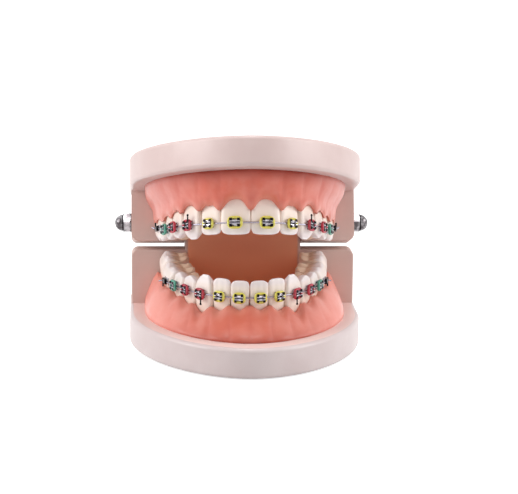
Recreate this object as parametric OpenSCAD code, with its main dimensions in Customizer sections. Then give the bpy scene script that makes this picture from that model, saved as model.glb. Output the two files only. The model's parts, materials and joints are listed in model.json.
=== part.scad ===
// Typodont: a hinged pair of model jaws with fixed braces on the teeth, held open.
// Millimetres, +Z up, +X to the right, the front teeth face -Y.
// The origin lies on the bottom face of the lower base, on the mid-plane, at the base's widest line.
// The upper jaw is modelled closed, then turned about the hinge pin by photo_open.

/* [Base plates] */
// Half width of both base plates
plate_half_w = 39.1; // [38.8:0.1:41]
// Reach of the rounded front ahead of the plate's widest line
plate_front = 53.7; // [52:0.1:58]
// Exponent of the front outline, 2 is an ellipse
plate_power = 1.83; // [1.75:0.01:2.2]
// Thickness of a plate
plate_h = 10; // [9:0.1:11]
// Rounding of the plate edges
plate_round = 1.4; // [0.8:0.1:2]
// Height of the bite plane above the table, jaws closed
bite_z = 27; // [26.5:0.1:28]
// Height of the closed upper jaw above the bite plane
upper_jaw_h = 29.7; // [29.5:0.1:31]

/* [Rear walls and hinge] */
// Front face of the walls behind the widest line
wall_y = 14.2; // [13:0.1:16]
// Step from the plate's side in to the walls' side
wall_inset = 0.5; // [0.3:0.1:1.5]
// Depth of the lower wall beside the tongue
wall_depth = 7; // [5:0.1:8]
// Height of the lower wall above the bite plane
wall_rise = 1.9; // [1:0.1:2.2]
// Rounding of the walls' outer corners
wall_round = 2.4; // [1:0.1:3]
// Gap between the closed lobes and the lower wall
wall_gap = 0.5; // [0.4:0.1:1]
// Half width of the tongue between the lobes
tongue_half_w = 20; // [18:0.1:20.1]
// Gap on each side of the tongue
tongue_gap = 0.25; // [0.2:0.05:0.5]
// Gap between the tongue and the upper plate
tongue_clear = 0.4; // [0.3:0.1:1]
// Radius of the lobes' rounded lower end about the pin
lobe_r = 7.1; // [6.5:0.1:7.4]
// Distance of the pin behind the front face of the walls
hinge_back = 10.1; // [9.8:0.1:10.4]
// Opening angle in the photograph
photo_open = 16; // [10:1:20]
// Diameter of the hinge pin
pin_d = 3; // [2.5:0.1:4]
// Radial running clearance of the pin in the tongue
pin_run = 0.06; // [0.03:0.01:0.1]
// Radial seat clearance of the pin in lobes and nuts
pin_seat = 0.02; // [0.01:0.01:0.05]
// Width across the flats of a cap nut
nut_flats = 6.3; // [5:0.1:7]
// Length of a cap nut's hexagon
nut_hex_h = 2.9; // [2:0.1:3.5]
// Radius of a cap nut's dome
nut_dome_r = 2.9; // [2:0.1:3]

/* [Lower teeth] */
// Widths along the arch, from the midline to the back
low_widths = [5.4, 5.8, 6.9, 7.0, 7.1, 11.0, 10.0]; // [5:0.1:12]
// Depths from cheek to tongue
low_depths = [6.0, 6.3, 7.8, 7.9, 8.4, 10.2, 9.8]; // [5:0.1:12]
// Heights of the biting edges and cusps over the bite plane
low_tips = [0.6, 0.9, 1.1, -0.2, -0.5, 0.2, 2.0]; // [-1:0.1:2.5]
// Backward tilts that follow the curve of the bite
low_tilts = [0, 0, 0, 0, 0, 6, 7]; // [0:1:10]
// Crown heights above the gum
low_crowns = [9.2, 9.7, 11.4, 8.8, 7.9, 6.8, 6.6]; // [6:0.1:12]
// Half width of the arch line through the teeth
low_arch_half_w = 24.4; // [24:0.1:25.5]
// Front of the arch line
low_arch_front = -30.3; // [-31:0.1:-29.5]
// Exponent of the arch line
low_arch_power = 1.92; // [1.9:0.01:2.1]
// Height of the archwire over the bite plane
low_wire_rise = -4.8; // [-5:0.1:-4.4]

/* [Upper teeth, jaws closed] */
// Widths along the arch, from the midline to the back
up_widths = [8.7, 6.8, 7.6, 7.0, 6.8, 10.2, 9.2]; // [5:0.1:12]
// Depths from cheek to palate
up_depths = [7.2, 6.3, 8.1, 8.9, 9.0, 11.0, 10.6]; // [5:0.1:12]
// Heights of the biting edges and cusps over the bite plane
up_tips = [-0.2, 0.1, -0.8, 0, 0.1, 0.5, 2.3]; // [-1:0.1:3]
// Backward tilts that follow the curve of the bite
up_tilts = [0, 0, 0, 0, 2, 5, 7]; // [0:1:10]
// Crown heights below the gum
up_crowns = [11.2, 9.2, 10.9, 8.6, 7.9, 7.1, 6.2]; // [6:0.1:12]
// Half width of the arch line through the teeth
up_arch_half_w = 25.5; // [25.2:0.1:26.2]
// Front of the arch line
up_arch_front = -33.4; // [-34:0.1:-33]
// Exponent of the arch line
up_arch_power = 2.22; // [2.2:0.01:2.4]
// Height of the archwire over the bite plane
up_wire_rise = 3.6; // [3.2:0.1:4]

/* [All teeth] */
// Middle of both arch lines, where their sides run straight back
arch_mid = 12; // [11:0.1:13]
// Gum left between a root peg's end and the plate
root_bed = 2.6; // [1.5:0.1:4]
// Depth of the grooves between cusps
cusp_h = 1.5; // [1:0.1:2]
// Rounding of the corners of the biting edges
corner_drop = 0.7; // [0.2:0.1:1.2]
// Clearance between a tooth and its socket
socket_gap = 0.04; // [0.02:0.01:0.1]

/* [Gums] */
// Height of the gum between two front teeth over the gum at a tooth's middle
papilla_h = 2.9; // [1:0.1:3.4]
// Half width of the gums where they meet the plates
gum_foot_half_w = 34.3; // [33.5:0.1:35]
// Reach of the gums' foot ahead of the plate's widest line
gum_foot_front = 46.6; // [45:0.1:48]
// Thickness of the gum outside the teeth's necks
gum_wall = 0.9; // [0.6:0.1:1.2]
// Width of the slope inside the arch
gum_inner = 4.6; // [4:0.1:5]
// Thickness of the mouth floor and of the palate's middle
floor_h = 2.2; // [1.5:0.1:3]
// Clear space between the palate's back edge and the tongue
palate_clear = 1.0; // [0.8:0.1:2]
// Gap between the mouth floor and the tongue
floor_gap = 0.3; // [0.1:0.1:1]

/* [Braces] */
// Width over the wings of an upper central bracket
wide_bracket_w = 3.7; // [3.6:0.1:4.4]
// Width over the wings of the other brackets
bracket_w = 2.9; // [2.6:0.1:3.1]
// Height over the wings
bracket_h = 3.0; // [2.8:0.1:3.4]
// Thickness of the bonding pad
pad_t = 0.5; // [0.4:0.05:0.7]
// Depth of the pad's seat in the tooth
pad_seat = 0.35; // [0.2:0.05:0.4]
// Gap between the wing pairs of a twin bracket, as a share of its width
twin_gap = 0.38; // [0.2:0.01:0.4]
// Thickness of the tie wings
wing_t = 0.5; // [0.4:0.05:0.6]
// Height of the wire slot
slot_h = 0.6; // [0.55:0.01:0.7]
// Diameter of the archwire
wire_d = 0.45; // [0.4:0.01:0.5]
// Radius of an elastic tie's cord
tie_r = 0.3; // [0.25:0.01:0.33]
// Length of a canine bracket's hook beyond its wings
hook_l = 1.7; // [1:0.1:2.5]
// Length of a molar tube
tube_l = 3.6; // [3:0.1:4.2]
// Height of the upper molar tubes above the upper wire
tube_rise = 0.9; // [0:0.1:1.2]
// Length of wire behind a molar tube
wire_end = 2.2; // [1:0.1:3]

/* [Hidden] */
KINDS = ["central", "lateral", "canine", "premolar_1", "premolar_2", "molar_1", "molar_2"];
JAWS = ["lower", "upper"];
SIDES = ["left", "right"];
function tooth_name(jaw, side, i) = str(jaw, "_", side, "_", KINDS[i]);
BRACE_NAMES = ["archwire", "incisor_brackets", "canine_brackets", "premolar_brackets", "molar_tubes",
               "yellow_ties", "red_ties", "green_ties"];
$fn = 48;

eps = 0.01;
closed_h = bite_z + upper_jaw_h;
wall_top = bite_z + wall_rise;
wall_half_w = plate_half_w - wall_inset;
hinge_y = wall_y + hinge_back;
hinge_z = wall_top + wall_gap + lobe_r;
rear_y = hinge_y + lobe_r;
upper_face = closed_h - plate_h;
tongue_rise = upper_face - tongue_clear - hinge_z;

// ---------- jaws ----------

// Turns a part of the closed upper jaw to the photograph's pose.
module open_jaw() {
    translate([0, hinge_y, hinge_z]) rotate([-photo_open, 0, 0]) translate([0, -hinge_y, -hinge_z])
        children();
}

module both_sides() {
    children();
    mirror([1, 0, 0]) children();
}

function is_upper(jaw) = jaw == "upper";

// ---------- lofts and sweeps ----------

// Closed skin through rings of equally many points, each ring anticlockwise seen from the last one.
module loft(rings) {
    n = len(rings[0]);
    m = len(rings);
    sides = [for (i = [0:m - 2]) for (j = [0:n - 1])
        let (a = i * n + j, b = i * n + (j + 1) % n, c = b + n, d = a + n)
        each [[a, d, c], [a, c, b]]];
    first = [for (j = [0:n - 1]) j];
    last = [for (j = [n - 1:-1:0]) (m - 1) * n + j];
    polyhedron(points = [for (r = rings) each r], faces = concat(sides, [first], [last]), convexity = 8);
}

function unit(v) = v / norm(v);
function spow(v, e) = sign(v) * pow(abs(v), e);
function mix(a, b, f) = a + (b - a) * f;

// ---------- base plates ----------

// Plan of a plate drawn in by inset: straight sides behind the widest line, a rounded front ahead of it.
function plate_outline(inset) = let (w = plate_half_w - inset, f = plate_front - inset) concat(
    [[-w, rear_y - inset]],
    [for (t = [0:6:180]) [-w * spow(cos(t), 2 / plate_power), -f * pow(abs(sin(t)), 2 / plate_power)]],
    [[w, rear_y - inset]]);

function at_height(outline, z) = [for (p = outline) [p[0], p[1], z]];

// Plate standing on z = 0 with rounded edges above and below.
module plate() {
    steps = [0, 45, 90];
    loft(concat(
        [for (t = steps) at_height(plate_outline(plate_round * (1 - sin(t))), plate_round * (1 - cos(t)))],
        [for (t = steps) at_height(plate_outline(plate_round * (1 - cos(t))),
                                   plate_h - plate_round * (1 - sin(t)))]));
}

// Rectangle from (x0, 0) to (x1, h) whose top corner at x1 is rounded.
module rounded_panel(x0, x1, h, r) {
    polygon(concat([[x0, 0], [x1, 0]],
                   [for (t = [0:15:90]) [x1 - r + r * cos(t), h - r + r * sin(t)]],
                   [[x0, h]]));
}

// Extrudes an XZ profile from y0 back to y1.
module extrude_back(y0, y1) {
    translate([0, y1, 0]) rotate([90, 0, 0]) linear_extrude(y1 - y0) children();
}

// Extrudes a YZ profile from x0 to x1.
module extrude_across(x0, x1) {
    translate([x0, 0, 0]) rotate([90, 0, 90]) linear_extrude(x1 - x0) children();
}

// Side view of the tongue: flat front, top rounded about the pin, flat back.
module tongue_profile() {
    back_turn = acos(lobe_r / hinge_back);
    polygon(concat([[wall_y, plate_h / 2]],
                   [for (k = [0:18]) let (t = mix(180, back_turn, k / 18))
                       [hinge_y + hinge_back * cos(t), hinge_z + tongue_rise * sin(t)]],
                   [[rear_y, plate_h / 2]]));
}

// Side view of a lobe: flat front, rounded about the pin below and behind.
module lobe_profile() {
    polygon(concat([[wall_y, upper_face + plate_h / 2], [wall_y, hinge_z - lobe_r]],
                   [for (t = [-90:9:0]) [hinge_y + lobe_r * cos(t), hinge_z + lobe_r * sin(t)]],
                   [[rear_y, upper_face + plate_h / 2]]));
}

module pin_bore(clearance) {
    translate([-wall_half_w - eps, hinge_y, hinge_z]) rotate([0, 90, 0])
        cylinder(d = pin_d + 2 * clearance, h = 2 * (wall_half_w + eps));
}

module lower_base() {
    color("seashell") difference() {
        union() {
            plate();
            both_sides() extrude_back(wall_y, wall_y + wall_depth)
                rounded_panel(0, wall_half_w, wall_top, wall_round);
            extrude_across(-tongue_half_w, tongue_half_w) tongue_profile();
        }
        pin_bore(pin_run);
    }
}

module upper_base() {
    color("seashell") open_jaw() difference() {
        union() {
            translate([0, 0, closed_h]) mirror([0, 0, 1]) plate();
            both_sides() intersection() {
                extrude_across(tongue_half_w + tongue_gap, wall_half_w) lobe_profile();
                translate([0, 0, closed_h]) mirror([0, 0, 1]) extrude_back(wall_y - 1, rear_y + 1)
                    rounded_panel(0, wall_half_w, closed_h - hinge_z + lobe_r, wall_round);
            }
        }
        pin_bore(pin_seat);
    }
}

module hinge_pin() {
    reach = wall_half_w + nut_hex_h;
    color("silver") open_jaw() translate([-reach, hinge_y, hinge_z]) rotate([0, 90, 0])
        cylinder(d = pin_d, h = 2 * reach);
}

// Cap nut seated on x = 0 with its dome towards +X.
module cap_nut() {
    rotate([0, 90, 0]) difference() {
        union() {
            intersection() {
                cylinder(d = nut_flats / cos(30), h = nut_hex_h, $fn = 6);
                cylinder(r1 = nut_flats / 2 + nut_flats / 50, r2 = nut_flats, h = nut_flats);
                cylinder(r1 = nut_flats / 2 + nut_hex_h, r2 = nut_flats / 2 - eps, h = nut_hex_h * 1.08);
            }
            translate([0, 0, nut_hex_h]) intersection() {
                sphere(r = nut_dome_r);
                cylinder(r = nut_dome_r * 2, h = nut_dome_r * 2);
            }
        }
        translate([0, 0, -eps]) cylinder(d = pin_d + 2 * pin_seat, h = nut_hex_h + eps);
    }
}

module hinge_nuts() {
    color("silver") open_jaw() both_sides() translate([wall_half_w, hinge_y, hinge_z]) cap_nut();
}

// ---------- arch lines ----------

function arch_points(half_w, front, power) = concat(
    [for (t = [0:3:90]) [half_w * pow(sin(t), 2 / power),
                         arch_mid - (arch_mid - front) * pow(cos(t), 2 / power)]],
    [[half_w, rear_y]]);

function run_lengths(c) =
    [for (i = 0, s = 0; i < len(c); s = s + (i + 1 < len(c) ? norm(c[i + 1] - c[i]) : 0), i = i + 1) s];

// A line as two lookup tables, of x and of y against the length run from the midline.
function line_tables(c) = let (s = run_lengths(c))
    [[for (i = [0:len(c) - 1]) [s[i], c[i][0]]], [for (i = [0:len(c) - 1]) [s[i], c[i][1]]]];

LOW_LINE = line_tables(arch_points(low_arch_half_w, low_arch_front, low_arch_power));
UP_LINE = line_tables(arch_points(up_arch_half_w, up_arch_front, up_arch_power));
function line_of(jaw) = is_upper(jaw) ? UP_LINE : LOW_LINE;

// Point of a line at signed length s, negative on the left.
function on_line(line, s) = [(s < 0 ? -1 : 1) * lookup(abs(s), line[0]), lookup(abs(s), line[1])];
function line_run(line, s) = unit(on_line(line, s + wire_d) - on_line(line, s - wire_d));
// Outward normal, towards lips and cheeks.
function line_out(line, s) = let (d = line_run(line, s)) [d[1], -d[0]];

function widths(jaw) = is_upper(jaw) ? up_widths : low_widths;
function depths(jaw) = is_upper(jaw) ? up_depths : low_depths;
function tip_z(jaw, i) = bite_z + (is_upper(jaw) ? up_tips : low_tips)[i];
function tilt(jaw, i) = is_upper(jaw) ? up_tilts[i] : -low_tilts[i];
function crowns(jaw) = is_upper(jaw) ? up_crowns : low_crowns;
function sum_to(v, n) = n <= 0 ? 0 : v[n - 1] + sum_to(v, n - 1);
function tooth_s(jaw, i) = sum_to(widths(jaw), i) + widths(jaw)[i] / 2;

// Puts a tooth's own frame on the right half of the arch: +X runs back along the arch, -Y faces
// the cheek, z = 0 is at the tip and the root points down in the lower jaw, up in the upper one.
module on_arch(jaw, i) {
    line = line_of(jaw);
    s = tooth_s(jaw, i);
    p = on_line(line, s);
    d = line_run(line, s);
    translate([p[0], p[1], tip_z(jaw, i)]) rotate([0, 0, atan2(d[1], d[0])])
        mirror([0, 0, is_upper(jaw) ? 1 : 0]) rotate([0, tilt(jaw, i), 0]) children();
}

// Moves a finished part of one jaw to its pose in the photograph.
module in_jaw(jaw) {
    if (is_upper(jaw)) open_jaw() children();
    else children();
}

module on_side(side) {
    mirror([side == "left" ? 1 : 0, 0, 0]) children();
}

// ---------- teeth ----------

RING = 16;
// Rings of each kind of crown as shares of the tooth's sizes: height below the tip over crown height,
// half width over width, cheek face and tongue face over depth.
NECK = [[-1.06, 0.385, -0.43, 0.44], [-0.74, 0.45, -0.465, 0.45]];
INCISOR = [[-0.42, 0.488, -0.465, 0.30], [-0.16, 0.497, -0.445, 0.02], [-0.02, 0.465, -0.40, -0.22]];
CANINE = [[-0.44, 0.492, -0.485, 0.37], [-0.27, 0.43, -0.45, 0.19], [-0.10, 0.24, -0.37, -0.05],
          [0, 0.08, -0.29, -0.16]];
MOLAR = [[-0.46, 0.492, -0.49, 0.49], [-0.22, 0.45, -0.43, 0.43]];
// Rings of the chewing surface: share of half width and depth, fall to the groove over cusp_h and
// share of the cusps' rise that shows there.
TABLE = [[0.68, 1, 1], [0.38, 1.15, 0.55], [0.12, 1.35, 0]];

LEVEL = [for (k = [1:RING]) 0];

// Ring at height z whose cheek and tongue faces lie at y0 and y1, each point raised by lifts.
function tooth_ring(half_w, y0, y1, z, lifts = LEVEL) = [for (k = [0:RING - 1])
    let (t = k * 360 / RING)
    [half_w * spow(cos(t), 0.8), (y0 + y1) / 2 + (y1 - y0) / 2 * spow(sin(t), 0.8), z + lifts[k]]];

function shaped_ring(w, d, crown, row, lifts = LEVEL) =
    tooth_ring(w * row[1], d * row[2], d * row[3], crown * row[0], lifts);

function root_l(jaw, i) = abs(gum_line(jaw)[i] - plate_face(jaw)) - root_bed;

// The root end and the neck, shared by the tooth and its socket.
function neck_rings(jaw, i, grow) = let (w = widths(jaw)[i], d = depths(jaw)[i], crown = crowns(jaw)[i])
    concat([tooth_ring(0.26 * w + grow, -0.24 * d - grow, 0.32 * d + grow, -crown - root_l(jaw, i) - grow)],
           [for (row = NECK) grown_ring(w, d, crown, row, grow)]);
function grown_ring(w, d, crown, row, grow) =
    tooth_ring(w * row[1] + grow, d * row[2] - grow, d * row[3] + grow, crown * row[0]);

// Biting edges fall away at their corners.
function edge_lifts(row) = [for (k = [0:RING - 1])
    -corner_drop * pow(abs(cos(k * 360 / RING)), 5) * max(0, 1 + row[0] * 5)];

// Cusps of a premolar lie towards cheek and tongue, those of a molar near the corners.
function cusp(i, t) = i < 5 ? pow(sin(t), 2) * (t > 180 ? 1.15 : 0.55) : abs(sin(2 * t)) * (t > 180 ? 1 : 0.8);
function table_rings(i, w, d) = [for (row = TABLE)
    shaped_ring(w * row[0], d * row[0], -cusp_h, [row[1], 0.5, -0.5, 0.5],
                [for (k = [0:RING - 1]) cusp_h * row[2] * cusp(i, k * 360 / RING)])];

function crown_rows(i) = i < 2 ? INCISOR : i == 2 ? CANINE : MOLAR;
function tooth_rings(jaw, i) = let (w = widths(jaw)[i], d = depths(jaw)[i], crown = crowns(jaw)[i])
    concat(neck_rings(jaw, i, 0),
           [for (row = crown_rows(i)) shaped_ring(w, d, crown, row, i < 2 ? edge_lifts(row) : LEVEL)],
           i < 3 ? [] : table_rings(i, w, d));

module tooth(jaw, side, i) {
    color("ivory") in_jaw(jaw) on_side(side) on_arch(jaw, i) difference() {
        loft(tooth_rings(jaw, i));
        if (i < 6) at_bracket(jaw, i) pad_block(jaw, i, socket_gap / 4, pad_seat);
    }
}

module socket(jaw, i) {
    on_arch(jaw, i) loft(concat(neck_rings(jaw, i, socket_gap),
        [grown_ring(widths(jaw)[i], depths(jaw)[i], crowns(jaw)[i], crown_rows(i)[0], socket_gap)]));
}

// ---------- gums ----------

// Lookup table over the whole arch of a value given for each tooth of one half.
function half_table(jaw, v) = [for (i = [0:6]) [tooth_s(jaw, i), v[i]]];

function gum_line(jaw) = [for (i = [0:6]) tip_z(jaw, i) + (is_upper(jaw) ? 1 : -1) * crowns(jaw)[i]];
function plate_face(jaw) = is_upper(jaw) ? upper_face : plate_h;

GUM_STEPS = 4;
FLOOR_STEPS = 15;
// Share of the papillae's height in each gap, from the one between the centrals backwards.
GAP_PAPILLA = [1, 1, 1, 0.7, 0.5, 0.5, 0.5, 0.25];
// Stations along the arch from the back on the left to the back on the right, with each one's
// share of the papilla's height: 1 between teeth, 0 at a tooth's middle.
function half_stations(jaw) = concat(
    [for (i = [0:6]) for (k = [0:GUM_STEPS - 1])
        [sum_to(widths(jaw), i) + widths(jaw)[i] * k / GUM_STEPS,
         pow((1 + cos(360 * k / GUM_STEPS)) / 2, 1.5) * GAP_PAPILLA[i + round(k / GUM_STEPS)]]],
    [[sum_to(widths(jaw), 7), GAP_PAPILLA[7]], [gum_end(jaw), 0]]);
// Length along the arch line at which it reaches the walls.
function gum_end(jaw) = let (line = line_of(jaw), flat = line[1][len(line[1]) - 2])
    flat[0] + wall_y - flat[1];
function stations(jaw) = let (h = half_stations(jaw)) concat(
    [for (k = [len(h) - 1:-1:1]) [-h[k][0], h[k][1]]], h);

FOOT_LINE = line_tables(concat(
    [for (t = [0:3:90]) [gum_foot_half_w * pow(sin(t), 2 / plate_power),
                         -gum_foot_front * pow(cos(t), 2 / plate_power)]],
    [[gum_foot_half_w, wall_y]]));
FOOT_RUN = FOOT_LINE[0][len(FOOT_LINE[0]) - 1][0];

// Outer face from the margin down to the foot: share of the way out, share of the height.
OUTER_FACE = [[0, 1], [0.22, 0.88], [0.5, 0.66], [0.76, 0.42], [0.95, 0.2], [1, 0.07], [0.97, 0]];
// Inner face from the margin to the mouth's floor or roof.
INNER_FACE = [[0, 1], [0.25, 0.8], [0.6, 0.5], [1, 0.25]];

// Section of a gum at one station, heights h measured from the plate.
function gum_section(jaw, station) = let (
    s = station[0],
    line = line_of(jaw),
    c = on_line(line, s),
    out = line_out(line, s),
    half_d = lookup(abs(s), half_table(jaw, depths(jaw))) * 0.46,
    plate_z = plate_face(jaw),
    dir = is_upper(jaw) ? -1 : 1,
    low_h = abs(lookup(abs(s), half_table(jaw, gum_line(jaw))) - plate_z),
    rise = papilla_h * station[1],
    h = low_h + rise,
    margin = c + out * (half_d + gum_wall),
    foot = on_line(FOOT_LINE, s / gum_end(jaw) * FOOT_RUN),
    inner = c - out * (half_d + gum_wall / 2),
    inner_foot = c - out * (half_d + gum_inner - gum_wall),
    plan = concat(
        [for (k = [len(OUTER_FACE) - 1:-1:0]) let (f = OUTER_FACE[k])
            [mix(margin, foot, f[0]), low_h * f[1] + rise * pow(f[1], 4)]],
        [[c, h - gum_wall / 2]],
        [for (f = INNER_FACE) [mix(inner, inner_foot, f[0]), mix(0, h, f[1])]],
        [[inner_foot, 0]]))
    [for (p = plan) [p[0][0], p[0][1], plate_z + dir * p[1]]];

// Ring of gum around the arch. The upper sections are mirror images, so they run the right way already.
module gum_ring(jaw) {
    rings = [for (st = stations(jaw)) gum_section(jaw, st)];
    loft(is_upper(jaw) ? rings : [for (r = rings) [for (k = [len(r) - 1:-1:0]) r[k]]]);
}

// Plan of the mouth's floor or roof, tucked under the gum ring's inner slope.
function floor_outline(jaw, back) = [for (k = [1 - FLOOR_STEPS:FLOOR_STEPS])
    let (line = line_of(jaw), s = (k - 0.5) / FLOOR_STEPS * gum_end(jaw),
         half_d = lookup(abs(s), half_table(jaw, depths(jaw))) * 0.46,
         p = on_line(line, s) - line_out(line, s) * (half_d + gum_inner / 2))
    [p[0], min(p[1], back)]];

module lower_gum() {
    color("lightcoral") difference() {
        union() {
            gum_ring("lower");
            translate([0, 0, plate_h]) linear_extrude(floor_h)
                polygon(floor_outline("lower", wall_y - floor_gap));
        }
        both_sides() for (i = [0:6]) socket("lower", i);
    }
}

module upper_gum() {
    back = wall_y - palate_clear;
    color("lightcoral") open_jaw() difference() {
        union() {
            gum_ring("upper");
            translate([0, 0, upper_face - floor_h])
                linear_extrude(floor_h) polygon(floor_outline("upper", back));
        }
        both_sides() for (i = [0:6]) socket("upper", i);
    }
}

// ---------- braces ----------

// Height of the wire at tooth i; it steps up to the upper tube.
function wire_z(jaw, i) = bite_z + (is_upper(jaw) ? up_wire_rise + (i == 5 ? tube_rise : 0) : low_wire_rise);
function wing_w(jaw, i) = is_upper(jaw) && i == 0 ? wide_bracket_w : bracket_w;
// How far the cheek face of a tooth stands out from its arch line at the wire's height.
function face_out(jaw, i) = lookup(-abs(tip_z(jaw, i) - wire_z(jaw, i)),
    [for (row = concat(NECK, crown_rows(i))) [crowns(jaw)[i] * row[0], -depths(jaw)[i] * row[2]]]);
// The tube sits towards the front of the first molar.
function bracket_shift(jaw, i) = i == 5 ? -0.18 * widths(jaw)[i] : 0;
tie_depth = pad_t + wire_d + 1.7 * tie_r;
wire_depth = pad_t + wire_d / 2 + tie_r / 2;
neck_depth = tie_depth + 1.15 * tie_r;
tie_half_h = bracket_h / 2 + 1.2 * tie_r;
function tie_half_w(jaw, i) = wing_w(jaw, i) / 2 + 1.5 * tie_r;
function tie_stretch(jaw, i) = tie_half_w(jaw, i) / tie_half_h;

// From a tooth's frame to its bracket's: -Y points out of the tooth, y = 0 is the pad's back.
module at_bracket(jaw, i) {
    z = (tip_z(jaw, i) - wire_z(jaw, i)) * (is_upper(jaw) ? 1 : -1);
    rotate([0, -tilt(jaw, i), 0]) translate([bracket_shift(jaw, i), -face_out(jaw, i) + pad_seat, z])
        children();
}

// Bonding pad, or its seat in the tooth when grown by a clearance and reaching further out.
module pad_block(jaw, i, grow = 0, further = 0) {
    w = (i == 5 ? tube_l : wing_w(jaw, i)) + 2 * grow;
    h = (i == 5 ? 0.85 : 1) * bracket_h + 2 * grow;
    t = pad_t + further;
    translate([-w / 2, -t, -h / 2]) cube([w, t + grow, h]);
}

// Places a part on bracket i on both sides of a jaw.
module on_teeth(jaw, i) {
    in_jaw(jaw) both_sides() on_arch(jaw, i) at_bracket(jaw, i) children();
}

// Twin bracket: pad, narrow neck, four tie wings and the slot for the wire.
module bracket(jaw, i) {
    w = wing_w(jaw, i);
    inner_h = tie_half_h - 2 * tie_r;
    neck_w = 2 * 0.68 * inner_h * tie_stretch(jaw, i);
    neck_h = 2 * 0.66 * inner_h;
    front = neck_depth + wing_t;
    difference() {
        union() {
            pad_block(jaw, i);
            translate([-neck_w / 2, -front, -neck_h / 2]) cube([neck_w, front, neck_h]);
            translate([-w / 2, -front, -bracket_h / 2]) cube([w, wing_t, bracket_h]);
        }
        translate([-w, -2 * front, -slot_h / 2]) cube([2 * w, 2 * front - pad_t - tie_r / 3, slot_h]);
        translate([-twin_gap * w / 2, wing_t - 2 * front, -bracket_h])
            cube([twin_gap * w, front, 2 * bracket_h]);
    }
}

// Hook towards the gum on the mesial wing of a canine bracket.
module hook(jaw) {
    w = wing_w(jaw, 2);
    y = -neck_depth - wing_t / 2;
    translate([wing_t * 0.6 - w / 2, y, -bracket_h / 2 - hook_l]) {
        cylinder(d = wing_t, h = hook_l + eps);
        sphere(d = wing_t * 1.6);
    }
}

module brackets(jaw, first, last) {
    color("dimgray") for (i = [first:last]) on_teeth(jaw, i) bracket(jaw, i);
}

module canine_brackets(jaw) {
    color("dimgray") on_teeth(jaw, 2) union() {
        bracket(jaw, 2);
        hook(jaw);
    }
}

// Buccal tube on its pad, with a short hook towards the gum.
module molar_tubes(jaw) {
    body_h = bracket_h * 0.6;
    front = wire_depth + 1.5 * wire_d;
    hook_w = wing_t * 1.2;
    color("dimgray") on_teeth(jaw, 5) difference() {
        union() {
            pad_block(jaw, 5);
            translate([-tube_l / 2, -front, -body_h / 2]) cube([tube_l, front, body_h]);
            translate([tube_l / 2 - 1.4 * hook_w, -front, -body_h / 2 - hook_l * 0.45])
                cube([hook_w, hook_w, hook_l * 0.45 + eps]);
        }
        translate([-tube_l, -wire_depth, 0]) rotate([0, 90, 0]) cylinder(d = slot_h, h = 2 * tube_l);
    }
}

// Elastic ring stretched round a bracket's neck.
module tie(jaw, i) {
    translate([0, -tie_depth, 0]) rotate([90, 0, 0]) scale([tie_stretch(jaw, i), 1, 1])
        rotate_extrude() translate([tie_half_h - tie_r, 0]) circle(r = tie_r, $fn = 24);
}

module ties(jaw, first, last, shade) {
    color(shade) for (i = [first:last]) on_teeth(jaw, i) tie(jaw, i);
}

// The wire runs straight through each slot and bends between brackets.
function wire_half(jaw) = let (line = line_of(jaw)) [for (i = [0:5])
    let (s = tooth_s(jaw, i), p = on_line(line, s), run = line_run(line, s), out = line_out(line, s),
         mid = p + run * bracket_shift(jaw, i) + out * (face_out(jaw, i) - pad_seat + wire_depth),
         half = (i == 5 ? tube_l : wing_w(jaw, i)) / 2 + tie_r / 3)
    each [for (side = [-1, 1]) let (q = mid + run * side * half) [q[0], q[1], wire_z(jaw, i)]]];

function wire_path(jaw) = let (
    h = wire_half(jaw),
    last = h[len(h) - 1],
    run = unit(last - h[len(h) - 2]),
    gum_way = is_upper(jaw) ? 1 : -1,
    end = last + wire_end * unit(run + [run[1], -run[0], gum_way * 0.6] * 0.7),
    right = concat(h, [end]))
    concat([for (k = [len(right) - 1:-1:0]) [-right[k][0], right[k][1], right[k][2]]], right);

// Round bar of diameter d along a path that stays near a level plane.
module swept_wire(path, d) {
    n = len(path);
    loft([for (i = [0:n - 1])
        let (t = unit(path[min(i + 1, n - 1)] - path[max(i - 1, 0)]),
             across = unit(cross(t, [0, 0, 1])),
             up = cross(across, t))
        [for (k = [0:7]) path[i] + d / 2 * (across * cos(k * 45) + up * sin(k * 45))]]);
}

module archwire(jaw) {
    color("gray") in_jaw(jaw) swept_wire(wire_path(jaw), wire_d);
}

// ---------- nodes ----------

lower_base();
upper_base();
lower_gum();
upper_gum();
hinge_pin();
hinge_nuts();
for (jaw = JAWS) {
    for (side = SIDES) for (i = [0:6])
        tooth(jaw, side, i);
    archwire(jaw);
    brackets(jaw, 0, 1);
    canine_brackets(jaw);
    brackets(jaw, 3, 4);
    molar_tubes(jaw);
    ties(jaw, 0, 1, "gold");
    ties(jaw, 2, 3, "crimson");
    ties(jaw, 4, 4, "seagreen");
}
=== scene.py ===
# %% [markdown]
# # A typodont with fixed braces
# A typodont is a pair of model jaws used to teach dentistry. This one stands open, with braces on
# both rows of teeth. The solid parts come from a CAD model; this notebook gives them their looks.
# Every measure is in millimetres until `new_mesh` writes it in metres. Only the camera's clipping,
# the lamps and the check at the end are in metres, as Blender has them.

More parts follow.
